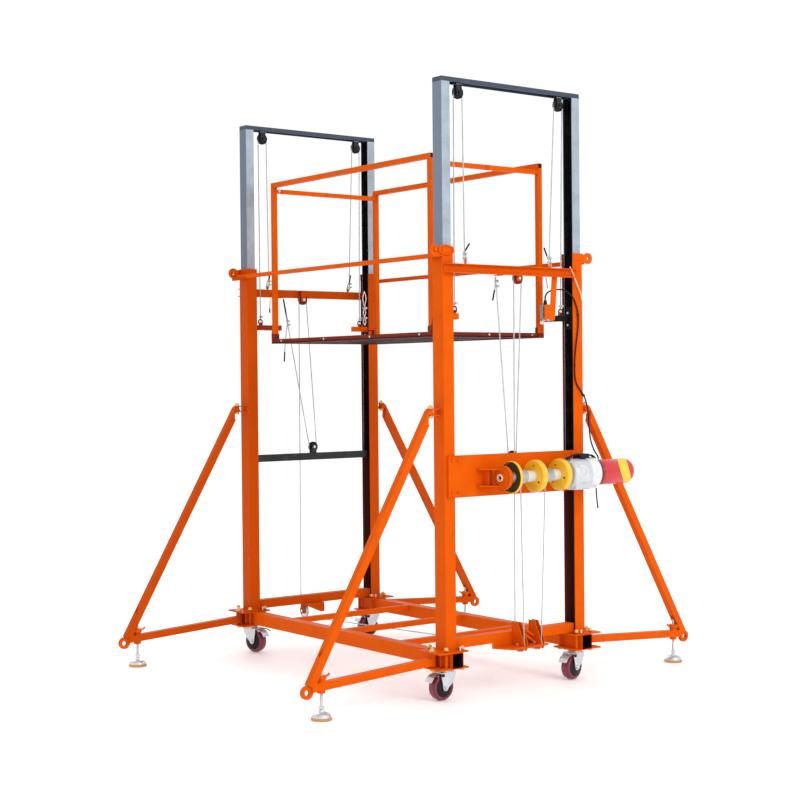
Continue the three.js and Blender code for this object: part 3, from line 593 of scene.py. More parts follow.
def rope_clamp(name, centre, along, body):
    """U-bolt rope grip: a saddle, a bow over the rope and two nuts."""
    centre, along = Vector(centre), Vector(along).normalized()
    side, up = frame_along(along)
    build = Build()
    build.bar(centre - along * 0.006 - up * 0.005, centre + along * 0.006 - up * 0.005,
              0.026, 0.006, side=side)
    legs = [centre - side * 0.008 - up * 0.012, centre - side * 0.008 + up * 0.003]
    for i in range(1, 8):
        angle = math.pi * (1 - i / 8)
        legs.append(centre + side * 0.008 * math.cos(angle)
                    + up * (0.003 + 0.008 * math.sin(angle)))
    legs += [centre + side * 0.008 + up * 0.003, centre + side * 0.008 - up * 0.012]
    build.tube(legs, 0.0022, 8)
    for k in (-1, 1):
        build.hexagon(centre + side * 0.008 * k - up * 0.008, -up, 0.009, 0.005)
    build.piece(name, "zinc", body)


def tail(name, points, body, look="rope", tip=0.05):
    """A loose rope end with its black heat-shrink tip."""
    points = [Vector(p) for p in points]
    Build().tube(points, ROPE).piece(name, look, body)
    last = points[-1]
    along = (points[-1] - points[-2]).normalized()
    Build().tube([last - along * tip, last - along * tip * 0.5, last + along * 0.004],
                 ROPE + 0.0012).piece(f"{name}_tip", "cable", body)


def curve_points(points, steps=8):
    """Smooth Catmull-Rom route through points."""
    points = [Vector(p) for p in points]
    padded = [2 * points[0] - points[1], *points, 2 * points[-1] - points[-2]]
    route = []
    for a, b, c, d in zip(padded, padded[1:], padded[2:], padded[3:]):
        for i in range(steps):
            t = i / steps
            route.append(0.5 * ((2 * b) + (c - a) * t + (2 * a - 5 * b + 4 * c - d) * t ** 2
                                + (3 * b - a - 3 * c + d) * t ** 3))
    route.append(points[-1])
    return route


def oval(centre, wide, high, steps=16):
    """Points on a closed oval in the xz plane."""
    angles = [2 * math.pi * i / steps for i in range(steps)]
    return [Vector(centre) + Vector((wide * math.cos(a), 0, high * math.sin(a)))
            for a in angles]


# ------------------------------------------------------------------ corners
BEAM_X = 0.439
PIN_X = abs(pivot("outrigger_swing_near_right").x)
BRACE_Z = 1.430


def bolt(build, x, y, z, axis=(0, 0, 1), across=0.019, length=0.010, stub=0.008):
    """Washer, nut and the end of the thread, standing on a face."""
    base, axis = Vector((x, y, z)), Vector(axis).normalized()
    build.lathe(base, axis, [(0, 0), (across * 0.75, 0), (across * 0.75, 0.0018),
                             (0, 0.0018)], 24)
    build.hexagon(base + axis * 0.0018, axis, across, length)
    if stub:
        build.rod(base + axis * length, base + axis * (length + stub), across * 0.3, 16,
                  chamfer=0.001)
    return build


def corner_hardware(corner, tower, side):
    """Bolts, outrigger cheeks and studs of one corner's clamp plates."""
    place = turned(0, TOWER_Y[tower], 0, math.pi if side < 0 else 0)
    build = Build()
    for x in (0.389, 0.489):
        for y in (-0.065, 0.065):
            bolt(build, x, y, PLATE_HIGH + 0.0095, stub=0.004)
            bolt(build, x, y, PLATE_LOW, axis=(0, 0, -1), length=0.008, stub=0.0)
    bolt(build, PIN_X, 0, PLATE_HIGH, across=0.024, length=0.012)
    bolt(build, PIN_X, 0, PLATE_LOW, axis=(0, 0, -1), across=0.024, length=0.010, stub=0.0)
    bolt(build, PIN_X, 0, BRACE_Z + 0.0182, across=0.022, length=0.010)
    bolt(build, PIN_X, 0, BRACE_Z - 0.0182, axis=(0, 0, -1), across=0.022, stub=0.0)
    build.place(place).piece(f"corner_bolts_{corner}", "gilt", "chassis", smooth=30)
    clevis = Build()
    for y in (-0.034, 0.028):
        clevis.hull((POST_FACE + 0.002, y, PLATE_LOW + 0.0115),
                    (PIN_X - 0.022, y + 0.006, PLATE_HIGH - 0.0115))
    clevis.place(place).piece(f"outrigger_cheeks_{corner}", "orange", "chassis",
                              bevel=0.0015)
    for k in (-1, 1):
        wing = Build()
        wing.tube([(BEAM_X - 0.028, k * 0.078, PLATE_HIGH + 0.004),
                   (BEAM_X - 0.028, k * 0.078, PLATE_HIGH + 0.022)], 0.005, 16)
        wing.place(place).piece(f"corner_stud_{corner}_{'ab'[k > 0]}", "zinc", "chassis")


def beam_ends():
    """Thin dark lips round the open ends of the two long base beams."""
    for side in (-1, 1):
        for end, y in (("near", BEAM_LOW.y), ("far", BEAM_HIGH.y)):
            inward = 1 if end == "near" else -1
            x = side * BEAM_X
            lip = Build()
            for dz in (0.0018, 0.0682):
                lip.hull((x - 0.0325, y, BEAM_LOW.z + dz - 0.0024),
                         (x + 0.0325, y + inward * 0.002, BEAM_LOW.z + dz + 0.0024))
            for dx in (-0.0301, 0.0301):
                lip.hull((x + dx - 0.0024, y, BEAM_LOW.z),
                         (x + dx + 0.0024, y + inward * 0.0015, BEAM_HIGH.z))
            lip.piece(f"beam_lip_{end}_{'left' if side < 0 else 'right'}", "maroon",
                      "chassis", bevel=0.0005)


WHEEL_R = 0.066
TRAIL = 0.034
FORK_HALF = 0.038


def caster(corner):
    """Fork with mounting plate and brake, built facing +X, and its crowned wheel."""
    centre = pivot(f"caster_swivel_{corner}")
    axle = pivot(f"caster_roll_{corner}")
    trail = (axle - centre).to_2d()
    turn = math.atan2(-trail.y, -trail.x)
    place = turned(centre.x, centre.y, 0, turn)
    fork, wheel = f"caster_fork_{corner}", f"caster_wheel_{corner}"
    top = 0.160
    build = Build().plate([(-0.05, -0.043), (0.05, -0.043), (0.05, 0.043), (-0.05, 0.043)],
                          "z", top - 0.004, top)
    build.lathe((0, 0, top - 0.004), (0, 0, -1), [
        (0, 0), (0.033, 0), (0.036, 0.003), (0.036, 0.006), (0.032, 0.008), (0.035, 0.010),
        (0.035, 0.014), (0.028, 0.017), (0, 0.017)], 48)
    crown = FORK_HALF + 0.0005
    build.plate([(-0.060, -crown), (0.026, -crown), (0.034, -0.022), (0.034, 0.022),
                 (0.026, crown), (-0.060, crown)], "z", top - 0.023, top - 0.018)
    leg = [(-0.060, top - 0.019), (0.034, top - 0.019), (0.030, top - 0.036)]
    for i in range(7):
        t = i / 6
        leg.append((0.026 - 0.042 * t, top - 0.044 - 0.049 * t - 0.008 * math.sin(3.1 * t)))
    for i in range(9):
        angle = math.radians(-20 - 150 * i / 8)
        leg.append((-TRAIL + 0.016 * math.cos(angle), WHEEL_R + 0.016 * math.sin(angle)))
    leg += [(-TRAIL - 0.019, WHEEL_R + 0.020), (-TRAIL - 0.025, WHEEL_R + 0.046)]
    for d in (-1, 1):
        near, far = sorted((d * (FORK_HALF - 0.0045), d * FORK_HALF))
        build.plate(leg, "y", near, far)
        bolt(build, -TRAIL, d * FORK_HALF, WHEEL_R, axis=(0, d, 0), across=0.016,
             length=0.007, stub=0.002)
    for x in (-0.040, 0.040):
        for y in (-0.034, 0.034):
            build.hexagon((x, y, top - 0.004), (0, 0, -1), 0.011, 0.005)
    build.place(place).piece(f"{fork}_body", "zinc", fork, [fork], bevel=0.0006)
    pedal = Build()
    track = [(-0.056, top - 0.026), (-0.074, top - 0.025), (-0.095, top - 0.033),
             (-0.108, top - 0.046), (-0.116, top - 0.060)]
    outline = track + [(x, z - 0.0035) for x, z in reversed(track)]
    pedal.plate(outline, "y", -0.026, 0.026)
    pedal.hull((-0.068, -0.020, top - 0.052), (-0.060, 0.020, top - 0.026))
    pedal.place(place).piece(f"brake_pedal_{corner}", "zinc", fork, bevel=0.0012)
    lever = Build().tube(curve_points([(-0.052, -0.038, top - 0.030),
                                       (-0.080, -0.040, top - 0.025),
                                       (-0.112, -0.040, top - 0.036)]), 0.0030, 10)
    lever.hull((-0.060, -0.042, top - 0.038), (-0.044, -0.0375, top - 0.024))
    lever.place(place).piece(f"brake_lever_{corner}", "cover", fork, bevel=0.0006)
    hub = Vector((-TRAIL, 0, WHEEL_R))
    half = 0.025
    tyre = [(0.049, -half + 0.001), (0.0575, -half)]
    for i in range(9):
        angle = math.radians(-80 + 160 * i / 8)
        tyre.append((WHEEL_R - 0.008 + 0.008 * math.cos(angle), half * math.sin(angle)))
    tyre += [(0.0575, half), (0.049, half - 0.001)]
    Build().lathe(hub, (0, 1, 0), tyre, 64, closed=True).place(place).piece(
        f"{wheel}_tread", "tread", wheel, [wheel], smooth=50)
    disc = [(0.0066, -half - 0.0068), (0.018, -half - 0.0065), (0.034, -half - 0.004),
            (0.046, -half - 0.001), (0.0488, -half + 0.002), (0.0488, half - 0.002),
            (0.046, half + 0.001), (0.034, half + 0.004), (0.018, half + 0.0065),
            (0.0066, half + 0.0068)]
    Build().lathe(hub, (0, 1, 0), disc, 56, closed=True).place(place).piece(
        f"{wheel}_cover", "cover", wheel, smooth=30)


def jack(corner, side):
    """Round foot, screw and nuts of a levelling jack, and the outrigger's end eye."""
    body = f"levelling_jack_{corner}"
    low, high = (Vector(v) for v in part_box(body))
    x, y = (low.x + high.x) / 2, (low.y + high.y) / 2
    foot = Vector((x, y, 0))
    up = (0, 0, 1)
    Build().lathe(foot, up, [(0, 0), (0.047, 0), (0.050, 0.003), (0.050, 0.011),
                             (0.047, 0.013), (0, 0.013)], 48).piece(
        f"jack_pad_{corner}", "pad", body, [body], smooth=40)
    dome = [(0, 0.0132)]
    for i in range(9):
        angle = math.radians(90 * i / 8)
        dome.append((0.013 + 0.034 * math.cos(angle), 0.0132 + 0.024 * math.sin(angle)))
    dome += [(0.0125, 0.044), (0.010, 0.048), (0, 0.048)]
    Build().lathe(foot, up, dome, 48).piece(f"jack_foot_{corner}", "zinc", body, smooth=40)
    thread = [(0, 0.0475)]
    turns = int((high.z - 0.054) / 0.004)
    for i in range(turns):
        z = 0.050 + 0.004 * i
        thread += [(0.0068, z), (0.0080, z + 0.002)]
    thread += [(0.0068, 0.050 + 0.004 * turns), (0.006, high.z), (0, high.z)]
    Build().lathe(foot, up, thread, 20).piece(f"jack_screw_{corner}", "zinc", body, smooth=5)
    arm = f"outrigger_{corner}"
    nut = Build().lathe((x, y, 0.1925), up, [(0.0112, 0), (0.024, 0), (0.026, 0.003),
                                             (0.026, 0.013), (0.022, 0.017),
                                             (0.0112, 0.017)], 32, closed=True)
    for k in (-1, 1):
        nut.tube(curve_points([(x + k * 0.022, y, 0.201), (x + k * 0.038, y, 0.206),
                               (x + k * 0.047, y, 0.2145)], 5), 0.0048, 12)
    nut.piece(f"jack_wing_nut_{corner}", "orange", arm, smooth=40)
    Build().hexagon((x, y, 0.052), up, 0.024, 0.012).piece(f"jack_lock_nut_{corner}",
                                                            "zinc", body)
    end = Build()
    eye_x = side * (PIN_X + 0.7475)
    for k in (-1, 1):
        end.lathe((eye_x, y + k * 0.0062, 0.137), (0, k, 0),
                  [(0.0155, 0), (0.031, 0), (0.0325, 0.002), (0.0155, 0.002)], 40,
                  closed=True)
    end.piece(f"outrigger_eye_face_{corner}", "orange", arm, smooth=30)


# ------------------------------------------------------------------ sheaves and ropes
LOFT_PITCH = 0.026
LIFT_PITCH = 0.0275
BASE_PITCH = 0.035
SHEAVES = {
    "base_sheave": (BASE_PITCH, "zinc"), "head_sheave": (LOFT_PITCH, "maroon"),
    "mast_foot_sheave": (LOFT_PITCH, "black"), "lift_sheave": (LIFT_PITCH, "black"),
}


def sheave(body, axis, pitch, look):
    """Grooved rope wheel; pitch is the radius of the rope's centre line."""
    centre = pivot(f"{body}_spin")
    rim, root = pitch + 0.005, pitch - ROPE - 0.0004
    profile = [(0.0055, -0.0068), (0.013, -0.0068), (0.0135, -0.0045), (rim - 0.006, -0.0045),
               (rim - 0.005, -0.0068), (rim - 0.0008, -0.0068), (rim, -0.0058)]
    for i in range(7):
        angle = math.radians(-90 + 180 * i / 6)
        profile.append((root + 0.0036 * (1 - math.cos(angle)), 0.0036 * math.sin(angle)))
    profile += [(rim, 0.0058), (rim - 0.0008, 0.0068), (rim - 0.005, 0.0068),
                (rim - 0.006, 0.0045), (0.0135, 0.0045), (0.013, 0.0068), (0.0055, 0.0068)]
    Build().lathe(centre, axis, profile, 56, closed=True).piece(
        f"{body}_wheel", look, body, [body], smooth=30)


def pulley_bolts():
    """The two ends of every sheave's pin."""
    for joint in JOINTS:
        if "sheave" not in joint:
            continue
        centre, axis = pivot(joint), Vector(JOINTS[joint]["axis"])
        body = JOINTS[joint]["parent"]
        build = Build()
        for k in (-1, 1):
            face = centre + axis * k * (0.0142 if abs(axis.x) > 0.5 else 0.0134)
            build.hexagon(face, axis * k, 0.016, 0.007)
        look = "black" if "lift" in joint else "zinc"
        build.piece(joint.replace("_spin", "_pin"), look, body)


def lift_ropes():
    """Head beam anchor, over the mast-top sheave, down to the shackle on the slider arm."""
    pitch = LIFT_PITCH
    for corner, tower, out, side in CORNERS:
        centre = pivot(f"lift_sheave_{corner}_spin")
        mast = f"mast_{tower}"
        x = LIFT_ANCHOR[corner]
        y = outward(tower, 0.056)
        top = HEAD_BOTTOM[tower] + HEAD_TALL
        knot = Vector((x + 0.004, y - out * 0.010, top + 0.070))
        inner = centre - Vector((side * pitch, 0, 0))
        outer = centre + Vector((side * pitch, 0, 0))
        eye = Vector((side * 0.360, outward(tower, -0.006), 1.944))
        Build().tube(arc(centre, pitch, 90 + side * 90, 90 - side * 90, "xz", 20),
                     ROPE).piece(f"lift_rope_{corner}_wrap", "rope", mast,
                                 [f"lift_rope_{corner}"])
        run(f"lift_rope_{corner}_inner", knot, inner, ("chassis", mast))
        run(f"lift_rope_{corner}_outer", outer, eye, ("mast_near", "platform"))
        loop = curve_points([knot, (x + 0.009, y - out * 0.006, top + 0.035),
                             (x + 0.008, y, top + 0.010), (x, y, top + 0.005),
                             (x - 0.008, y, top + 0.012),
                             (x - 0.005, y - out * 0.006, top + 0.040),
                             (x + 0.001, y - out * 0.012, top + 0.063)])
        Build().tube(loop, ROPE).piece(f"anchor_loop_{corner}", "rope", "chassis")
        for i, rise in enumerate((0.030, 0.050)):
            rope_clamp(f"anchor_clamp_{corner}_{i}", (x + 0.003, knot.y, top + rise),
                       (0, 0, 1), "chassis")
        lean = {"near_right": -0.030, "near_left": 0.034}.get(corner, 0.014)
        tail(f"anchor_tail_{corner}", curve_points([
            (x + 0.001, y - out * 0.013, top + 0.045),
            (x + lean * 0.4, y - out * 0.014, top + 0.070),
            (x + lean, y - out * 0.010, top + 0.100)]), "chassis", tip=0.045)
        shackle = Build()
        bow = [Vector((eye.x - 0.011, eye.y, 1.930))]
        for i in range(9):
            angle = math.pi * (1 - i / 8)
            bow.append(Vector((eye.x + 0.013 * math.cos(angle), eye.y,
                               1.944 + 0.013 * math.sin(angle))))
        bow.append(Vector((eye.x + 0.011, eye.y, 1.930)))
        shackle.tube(bow, 0.0035, 12)
        shackle.tube([(eye.x, eye.y - 0.014, 1.930), (eye.x, eye.y + 0.010, 1.930)], 0.0042)
        shackle.piece(f"shackle_{corner}", "black", "platform")
        rope_clamp(f"slider_clamp_{corner}", eye + Vector((0, 0, 0.028)), (0, 0, 1),
                   "platform")


def winch_ropes():
    """Drum, base sheaves, head beam sheave, mast foot sheave and back to the head beam."""
    routes = {
        "near": ("winch_rope_near", -0.105, [("base_sheave_near_a", -180, 0)], -0.040),
        "far": ("winch_rope_far", -0.185, [("base_sheave_near_b", -180, -90),
                                           ("base_sheave_far", -90, 0)], 0.130),
    }
    for tower, (node, anchor_x, wraps, drum_x) in routes.items():
        out = -1 if tower == "near" else 1
        mast = f"mast_{tower}"
        head = pivot(f"head_sheave_{tower}_spin")
        foot = pivot(f"mast_foot_sheave_{tower}_spin")
        start = DRUM + Vector((drum_x, DRUM_PITCH, -0.002))
        last = start
        for i, (sheave_name, a, b) in enumerate(wraps):
            bend = arc(pivot(f"{sheave_name}_spin"), BASE_PITCH, a, b, "yz", 14)
            run(f"{node}_run_{i}", last, bend[0], ("chassis",))
            Build().tube(bend, ROPE).piece(f"{node}_bend_{i}", "rope", "chassis",
                                           [node] if i == 0 else [])
            last = bend[-1]
        over = arc(head, LOFT_PITCH, 180, 0, "xz", 16)
        run(f"{node}_riser", last, over[0], ("chassis",))
        Build().tube(over, ROPE).piece(f"{node}_over", "rope", "chassis")
        under = arc(foot, LOFT_PITCH, 0, -180, "xz", 16)
        run(f"{node}_to_mast", over[-1], under[0], ("chassis", mast))
        Build().tube(under, ROPE).piece(f"{node}_under", "rope", mast)
        low = HEAD_BOTTOM[tower]
        knot = Vector((anchor_x, outward(tower, 0.014), low - 0.008))
        run(f"{node}_to_anchor", knot, under[-1], ("chassis", mast))
        anchor = Build()
        anchor.hull((anchor_x - 0.012, outward(tower, 0.012), low - 0.004),
                    (anchor_x + 0.012, outward(tower, 0.060), low - 0.0005))
        anchor.piece(f"winch_anchor_plate_{tower}", "orange", "chassis", bevel=0.001)
        slope = 0.188 if tower == "far" else 0.055
        for i, drop in enumerate((0.135, 0.155) if tower == "far" else (0.022, 0.048)):
            rope_clamp(f"winch_anchor_clamp_{tower}_{i}",
                       knot + Vector((slope * drop + 0.002, 0, -drop)), (slope, 0, -1),
                       "chassis")
        if tower == "far":
            continue
        y = outward(tower, 0.016)
        tail(f"winch_tail_{tower}", curve_points([
            (anchor_x - 0.004, y, low - 0.012), (anchor_x - 0.006, y, low - 0.06),
            (anchor_x - 0.018, y - out * 0.004, low - 0.125)]), "chassis")


def loose_ends():
    """Free rope ends under the head beams, the doubled end at the far right slider."""
    routes = (
        ("hanging_end_a", "far", "white", 0.020, 0.014,
         [(-0.272, 2.086), (-0.279, 2.060), (-0.282, 2.003)]),
        ("hanging_end_b", "far", "rope", 0.055, 0.020,
         [(-0.153, 1.945), (-0.160, 1.900), (-0.172, 1.800), (-0.178, 1.711)]),
    )
    for name, tower, look, tip, distance, route in routes:
        tail(name, curve_points([(x, outward(tower, distance), z) for x, z in route]),
             "chassis", look, tip)
    bare = (
        ("rope_sleeve_far", "far", "cable", 0.0048, 0.014, [(-0.184, 2.080), (-0.157, 1.945)]),
        ("hanging_thread_near", "near", "cable", 0.0018, 0.035,
         [(0.221, 2.118), (0.226, 2.090), (0.232, 2.060)]),
        # A cream cord from the head beam down the near right post, also standing in for a painted
        # highlight along a bracket's edge.
        ("loose_cord_near_right", "near", "cord", 0.0036, 0.056,
         [(0.372, 2.176), (0.397, 2.133), (0.425, 2.082), (0.446, 2.040), (0.458, 2.001)]),
    )
    for name, tower, look, radius, distance, route in bare:
        points = curve_points([(x, outward(tower, distance), z) for x, z in route])
        Build().tube(points, radius).piece(name, look, "chassis")
    y = outward("far", -0.040)
    for k, name in ((-1, "a"), (1, "b")):
        strand = [(0.375, y, 2.140), (0.375 + k * 0.012, y, 2.095), (0.375, y + k * 0.003, 2.037),
                  (0.375 - k * 0.008, y, 2.006), (0.375, y - k * 0.003, 1.976),
                  (0.375 + k * 0.009, y, 1.952), (0.375, y, 1.930)]
        Build().tube(curve_points(strand), ROPE).piece(f"slider_rope_loop_{name}", "white",
                                                       "platform")
    for i, z in enumerate((2.037, 1.976)):
        rope_clamp(f"slider_loop_clamp_{i}", (0.375, y, z), (0, 0, 1), "platform")
    link = oval((0.301, outward("near", -0.031), 1.907), 0.029, 0.014)
    Build().tube(link, 0.0035, 12, closed=True).piece("slider_link_near_right", "grey",
                                                      "platform")


# ------------------------------------------------------------------ winch
DRUM_PITCH = 0.034


def flange(name, x, deep, facing, look="yellow"):
    """Pressed drum disc with a rolled rim; facing is the side (-1 or 1) its hollow opens to."""
    r = 0.0818
    profile = [(0.0295, 0), (r - 0.009, 0), (r - 0.004, 0.001), (r - 0.001, 0.004),
               (r, 0.008), (r, deep - 0.002), (r - 0.0015, deep), (r - 0.0035, deep),
               (r - 0.0045, deep - 0.002), (r - 0.0045, 0.009), (r - 0.009, 0.0045),
               (0.0295, 0.0045)]
    Build().lathe(DRUM + Vector((x, 0, 0)), (facing, 0, 0), profile, 72, closed=True).piece(
        name, look, "winch_drum", smooth=40)


def winch():
    """Drum with three flanges, its shaft and bearing, the rope turns and plate bolts."""
    flange("drum_flange_left", -0.1180, 0.0195, -1)
    flange("drum_flange_middle", 0.0145, 0.0310, 1)
    flange("drum_flange_right", 0.1825, 0.0310, 1)
    # A dark ring in the left flange's hollow: painted shade.
    Build().lathe(DRUM + Vector((-0.1228, 0, 0)), (-1, 0, 0), [
        (0.0295, 0), (0.076, 0), (0.077, 0.003), (0.077, 0.0135), (0.0765, 0.0135),
        (0.0765, 0.0045), (0.0755, 0.0012), (0.0295, 0.0012)], 72, closed=True).piece(
        "drum_flange_inside", "olive", "winch_drum", smooth=40)
    core = Build()
    core.lathe(DRUM + Vector((-0.2035, 0, 0)), (1, 0, 0), [
        (0, 0), (0.0105, 0), (0.0122, 0.0015), (0.0122, 0.0875), (0.029, 0.0875),
        (0.029, 0.404), (0.022, 0.406), (0.022, 0.430), (0.0122, 0.432), (0.0122, 0.442),
        (0, 0.442)], 48)
    core.piece("drum_shaft", "core", "winch_drum", ["winch_drum"], smooth=30)
    sleeve = Build().lathe(DRUM + Vector((-0.2045, 0, 0)), (-1, 0, 0), [
        (0.0145, -0.006), (0.0185, -0.006), (0.0185, 0.005), (0.0145, 0.005)], 40,
        closed=True)
    sleeve.piece("shaft_end_sleeve", "white", "chassis")
    # A dark disc in the shaft's end: painted shade in the bore.
    Build().rod(DRUM + Vector((-0.2037, 0, 0)), DRUM + Vector((-0.2043, 0, 0)),
                0.0085).piece("shaft_end_bore", "hollow", "winch_drum")
    for name, start, turns in (("near", -0.103, 10), ("far", 0.062, 12)):
        points = []
        steps = turns * 24
        for i in range(steps + 1):
            angle = 2 * math.pi * i / 24
            points.append(DRUM + Vector((start + 0.0063 * i / 24,
                                           (DRUM_PITCH - 0.0018) * math.cos(angle),
                                           (DRUM_PITCH - 0.0018) * math.sin(angle))))
        Build().tube(points, ROPE, 10).piece(f"rope_turns_{name}", "rope", "winch_drum")
    # Dark discs on the flanges where the holes are: painted shade.
    slots = Build()
    for x, facing, first in ((0.0142, -1, 95), (0.1822, -1, 75)):
        for i in range(3):
            angle = math.radians(first + 120 * i)
            y, z = 0.052 * math.cos(angle), 0.052 * math.sin(angle)
            base = DRUM + Vector((x, y, z))
            slots.lathe(base, (facing, 0, 0), [(0, -0.0004), (0.0055, -0.0004),
                                               (0.0055, 0.0006), (0, 0.0006)], 3 + 9 * (i > 0))
    slots.piece("flange_holes", "hollow", "winch_drum")
    housing = Build().lathe(DRUM + Vector((-0.193, 0, 0)), (-1, 0, 0), [
        (0.0165, -0.001), (0.050, -0.001), (0.0535, 0.0005), (0.0545, 0.003),
        (0.048, 0.006), (0.026, 0.0065), (0.024, 0.010), (0.019, 0.010), (0.0165, 0.009)],
        64, closed=True)
    housing.piece("bearing_cover", "orange", "chassis", smooth=40)
    bolts = Build()
    for i in range(4):
        angle = math.radians(45 + 90 * i)
        bolts.hexagon(DRUM + Vector((-0.1985, 0.038 * math.cos(angle),
                                       0.038 * math.sin(angle))), (-1, 0, 0), 0.010, 0.005)
    for x in (-0.435, -0.395):
        for z in (1.03, 1.19):
            bolts.hexagon((x, outward("near", 0.0565), z), (0, -1, 0), 0.014, 0.006)
    bolts.piece("winch_plate_bolts", "orange", "chassis")


MOTOR_X = 0.240
COVER_BEND = 0.657


def cover_radius(x):
    """Radius of the motor cover: nearly straight, then domed over its last 40 mm."""
    if x < COVER_BEND:
        return 0.0665 - 0.001 * (x - 0.44) / 0.217
    return 0.022 + 0.0435 * math.sqrt(max(0.0, 1 - ((x - COVER_BEND) / 0.040) ** 2))


def motor():
    """Gear motor with foot and bracket, clamp rings, domed cover with band, and wires."""
    start = DRUM + Vector((MOTOR_X, 0, 0))
    profile = [(0.030, 0), (0.060, 0), (0.070, 0.004), (0.0765, 0.012), (0.0775, 0.020),
               (0.0775, 0.118), (0.0765, 0.122), (0.030, 0.124)]
    Build().lathe(start, (1, 0, 0), profile, 72, closed=True).piece(
        "motor_body", "casting", "chassis", ["gear_motor"], smooth=35)
    rim = oval(start + Vector((0.056, 0, 0.014)), 0.033, 0.030, 24)
    for point in rim:
        point.y = start.y - math.sqrt(0.0778 ** 2 - (point.z - start.z) ** 2)
    Build().tube(rim, 0.0022, 10, closed=True).piece("motor_recess_rim", "core", "chassis")
    y0, y1 = DRUM.y - 0.074, DRUM.y + 0.048
    top, low = DRUM.z - 0.020, DRUM.z - 0.081
    foot = Build().plate([(y0 + 0.004, top), (y1, top), (y1 - 0.010, low), (y0 + 0.026, low)],
                         "x", MOTOR_X + 0.022, MOTOR_X + 0.124)
    foot.piece("motor_foot", "casting", "chassis", bevel=0.006)
    bracket = Build().hull((MOTOR_X + 0.022, DRUM.y + 0.030, DRUM.z - 0.058),
                           (MOTOR_X + 0.070, outward("near", 0.0572), DRUM.z + 0.058))
    bracket.piece("motor_bracket", "casting", "chassis", bevel=0.003)
    ring = Build().lathe(DRUM + Vector((0.3900, 0, 0)), (1, 0, 0), [
        (0.030, -0.030), (0.079, -0.030), (0.0822, -0.026), (0.0822, 0.032), (0.079, 0.036),
        (0.030, 0.036)], 64, closed=True)
    for k in (-1, 1):
        ring.hull((0.378, DRUM.y - 0.0828, DRUM.z + 0.014 * k - 0.006),
                  (0.402, DRUM.y - 0.0740, DRUM.z + 0.014 * k + 0.006))
    ring.piece("motor_clamp_ring", "core", "chassis", bevel=0.001, smooth=35)
    Build().lathe(DRUM + Vector((0.4275, 0, 0)), (1, 0, 0), [
        (0.030, -0.0012), (0.0725, -0.0012), (0.074, 0.001), (0.074, 0.009),
        (0.070, 0.0115), (0.030, 0.0115)], 64, closed=True).piece(
        "motor_black_ring", "black", "chassis", smooth=35)
    shell = [(0, 0.4395), (0.065, 0.4395), (0.0665, 0.4420), (cover_radius(0.55), 0.550),
             (cover_radius(COVER_BEND), COVER_BEND)]
    for i in range(1, 9):
        x = COVER_BEND + 0.040 * math.sin(math.radians(90 * i / 8))
        shell.append((cover_radius(x), x))
    shell.append((0, 0.6975))
    Build().lathe(DRUM, (1, 0, 0), shell, 72).piece(
        "motor_cover_shell", "red", "chassis", ["motor_cover"], smooth=45)
    band = Build()
    rows = []
    for lift, order in ((0.0012, range(7)), (-0.0012, range(6, -1, -1))):
        for k in order:
            row = []
            for i in range(72):
                angle = 2 * math.pi * i / 72
                rise, lean = math.sin(angle), math.cos(angle)
                left = 0.6345 - 0.0255 * rise + 0.062 * lean
                right = 0.690 - 0.022 * rise + 0.053 * lean
                x = min(0.6885, left + (right - left) * k / 6)
                radius = cover_radius(x) + lift
                row.append(band.mesh.verts.new(DRUM + Vector((x, radius * lean,
                                                                radius * rise))))
            rows.append(row)
    for a, b in zip(rows, rows[1:] + rows[:1]):
        for i in range(72):
            j = (i + 1) % 72
            band.mesh.faces.new((a[i], a[j], b[j], b[i]))
    band.piece("motor_cover_band", "band", "chassis", smooth=40)
    box = Build().hull((0.322, DRUM.y - 0.024, DRUM.z + 0.070),
                       (0.388, DRUM.y + 0.034, DRUM.z + 0.102))
    box.piece("terminal_box", "black", "chassis", bevel=0.004)
    for i in range(3):
        y = DRUM.y - 0.020 + 0.014 * i
        Build().tube(curve_points([
            (0.246, y, DRUM.z + 0.072), (0.258, y, DRUM.z + 0.092 - 0.004 * i),
            (0.300, y - 0.004, DRUM.z + 0.100 - 0.004 * i), (0.342, y, DRUM.z + 0.090),
            (0.387, y, DRUM.z + 0.095), (0.415, y - 0.006 * i, DRUM.z + 0.090),
            (0.434, y - 0.008 * i, DRUM.z + 0.0765)]), 0.0035, 12).piece(
                f"motor_wire_{i}", "cable", "chassis")


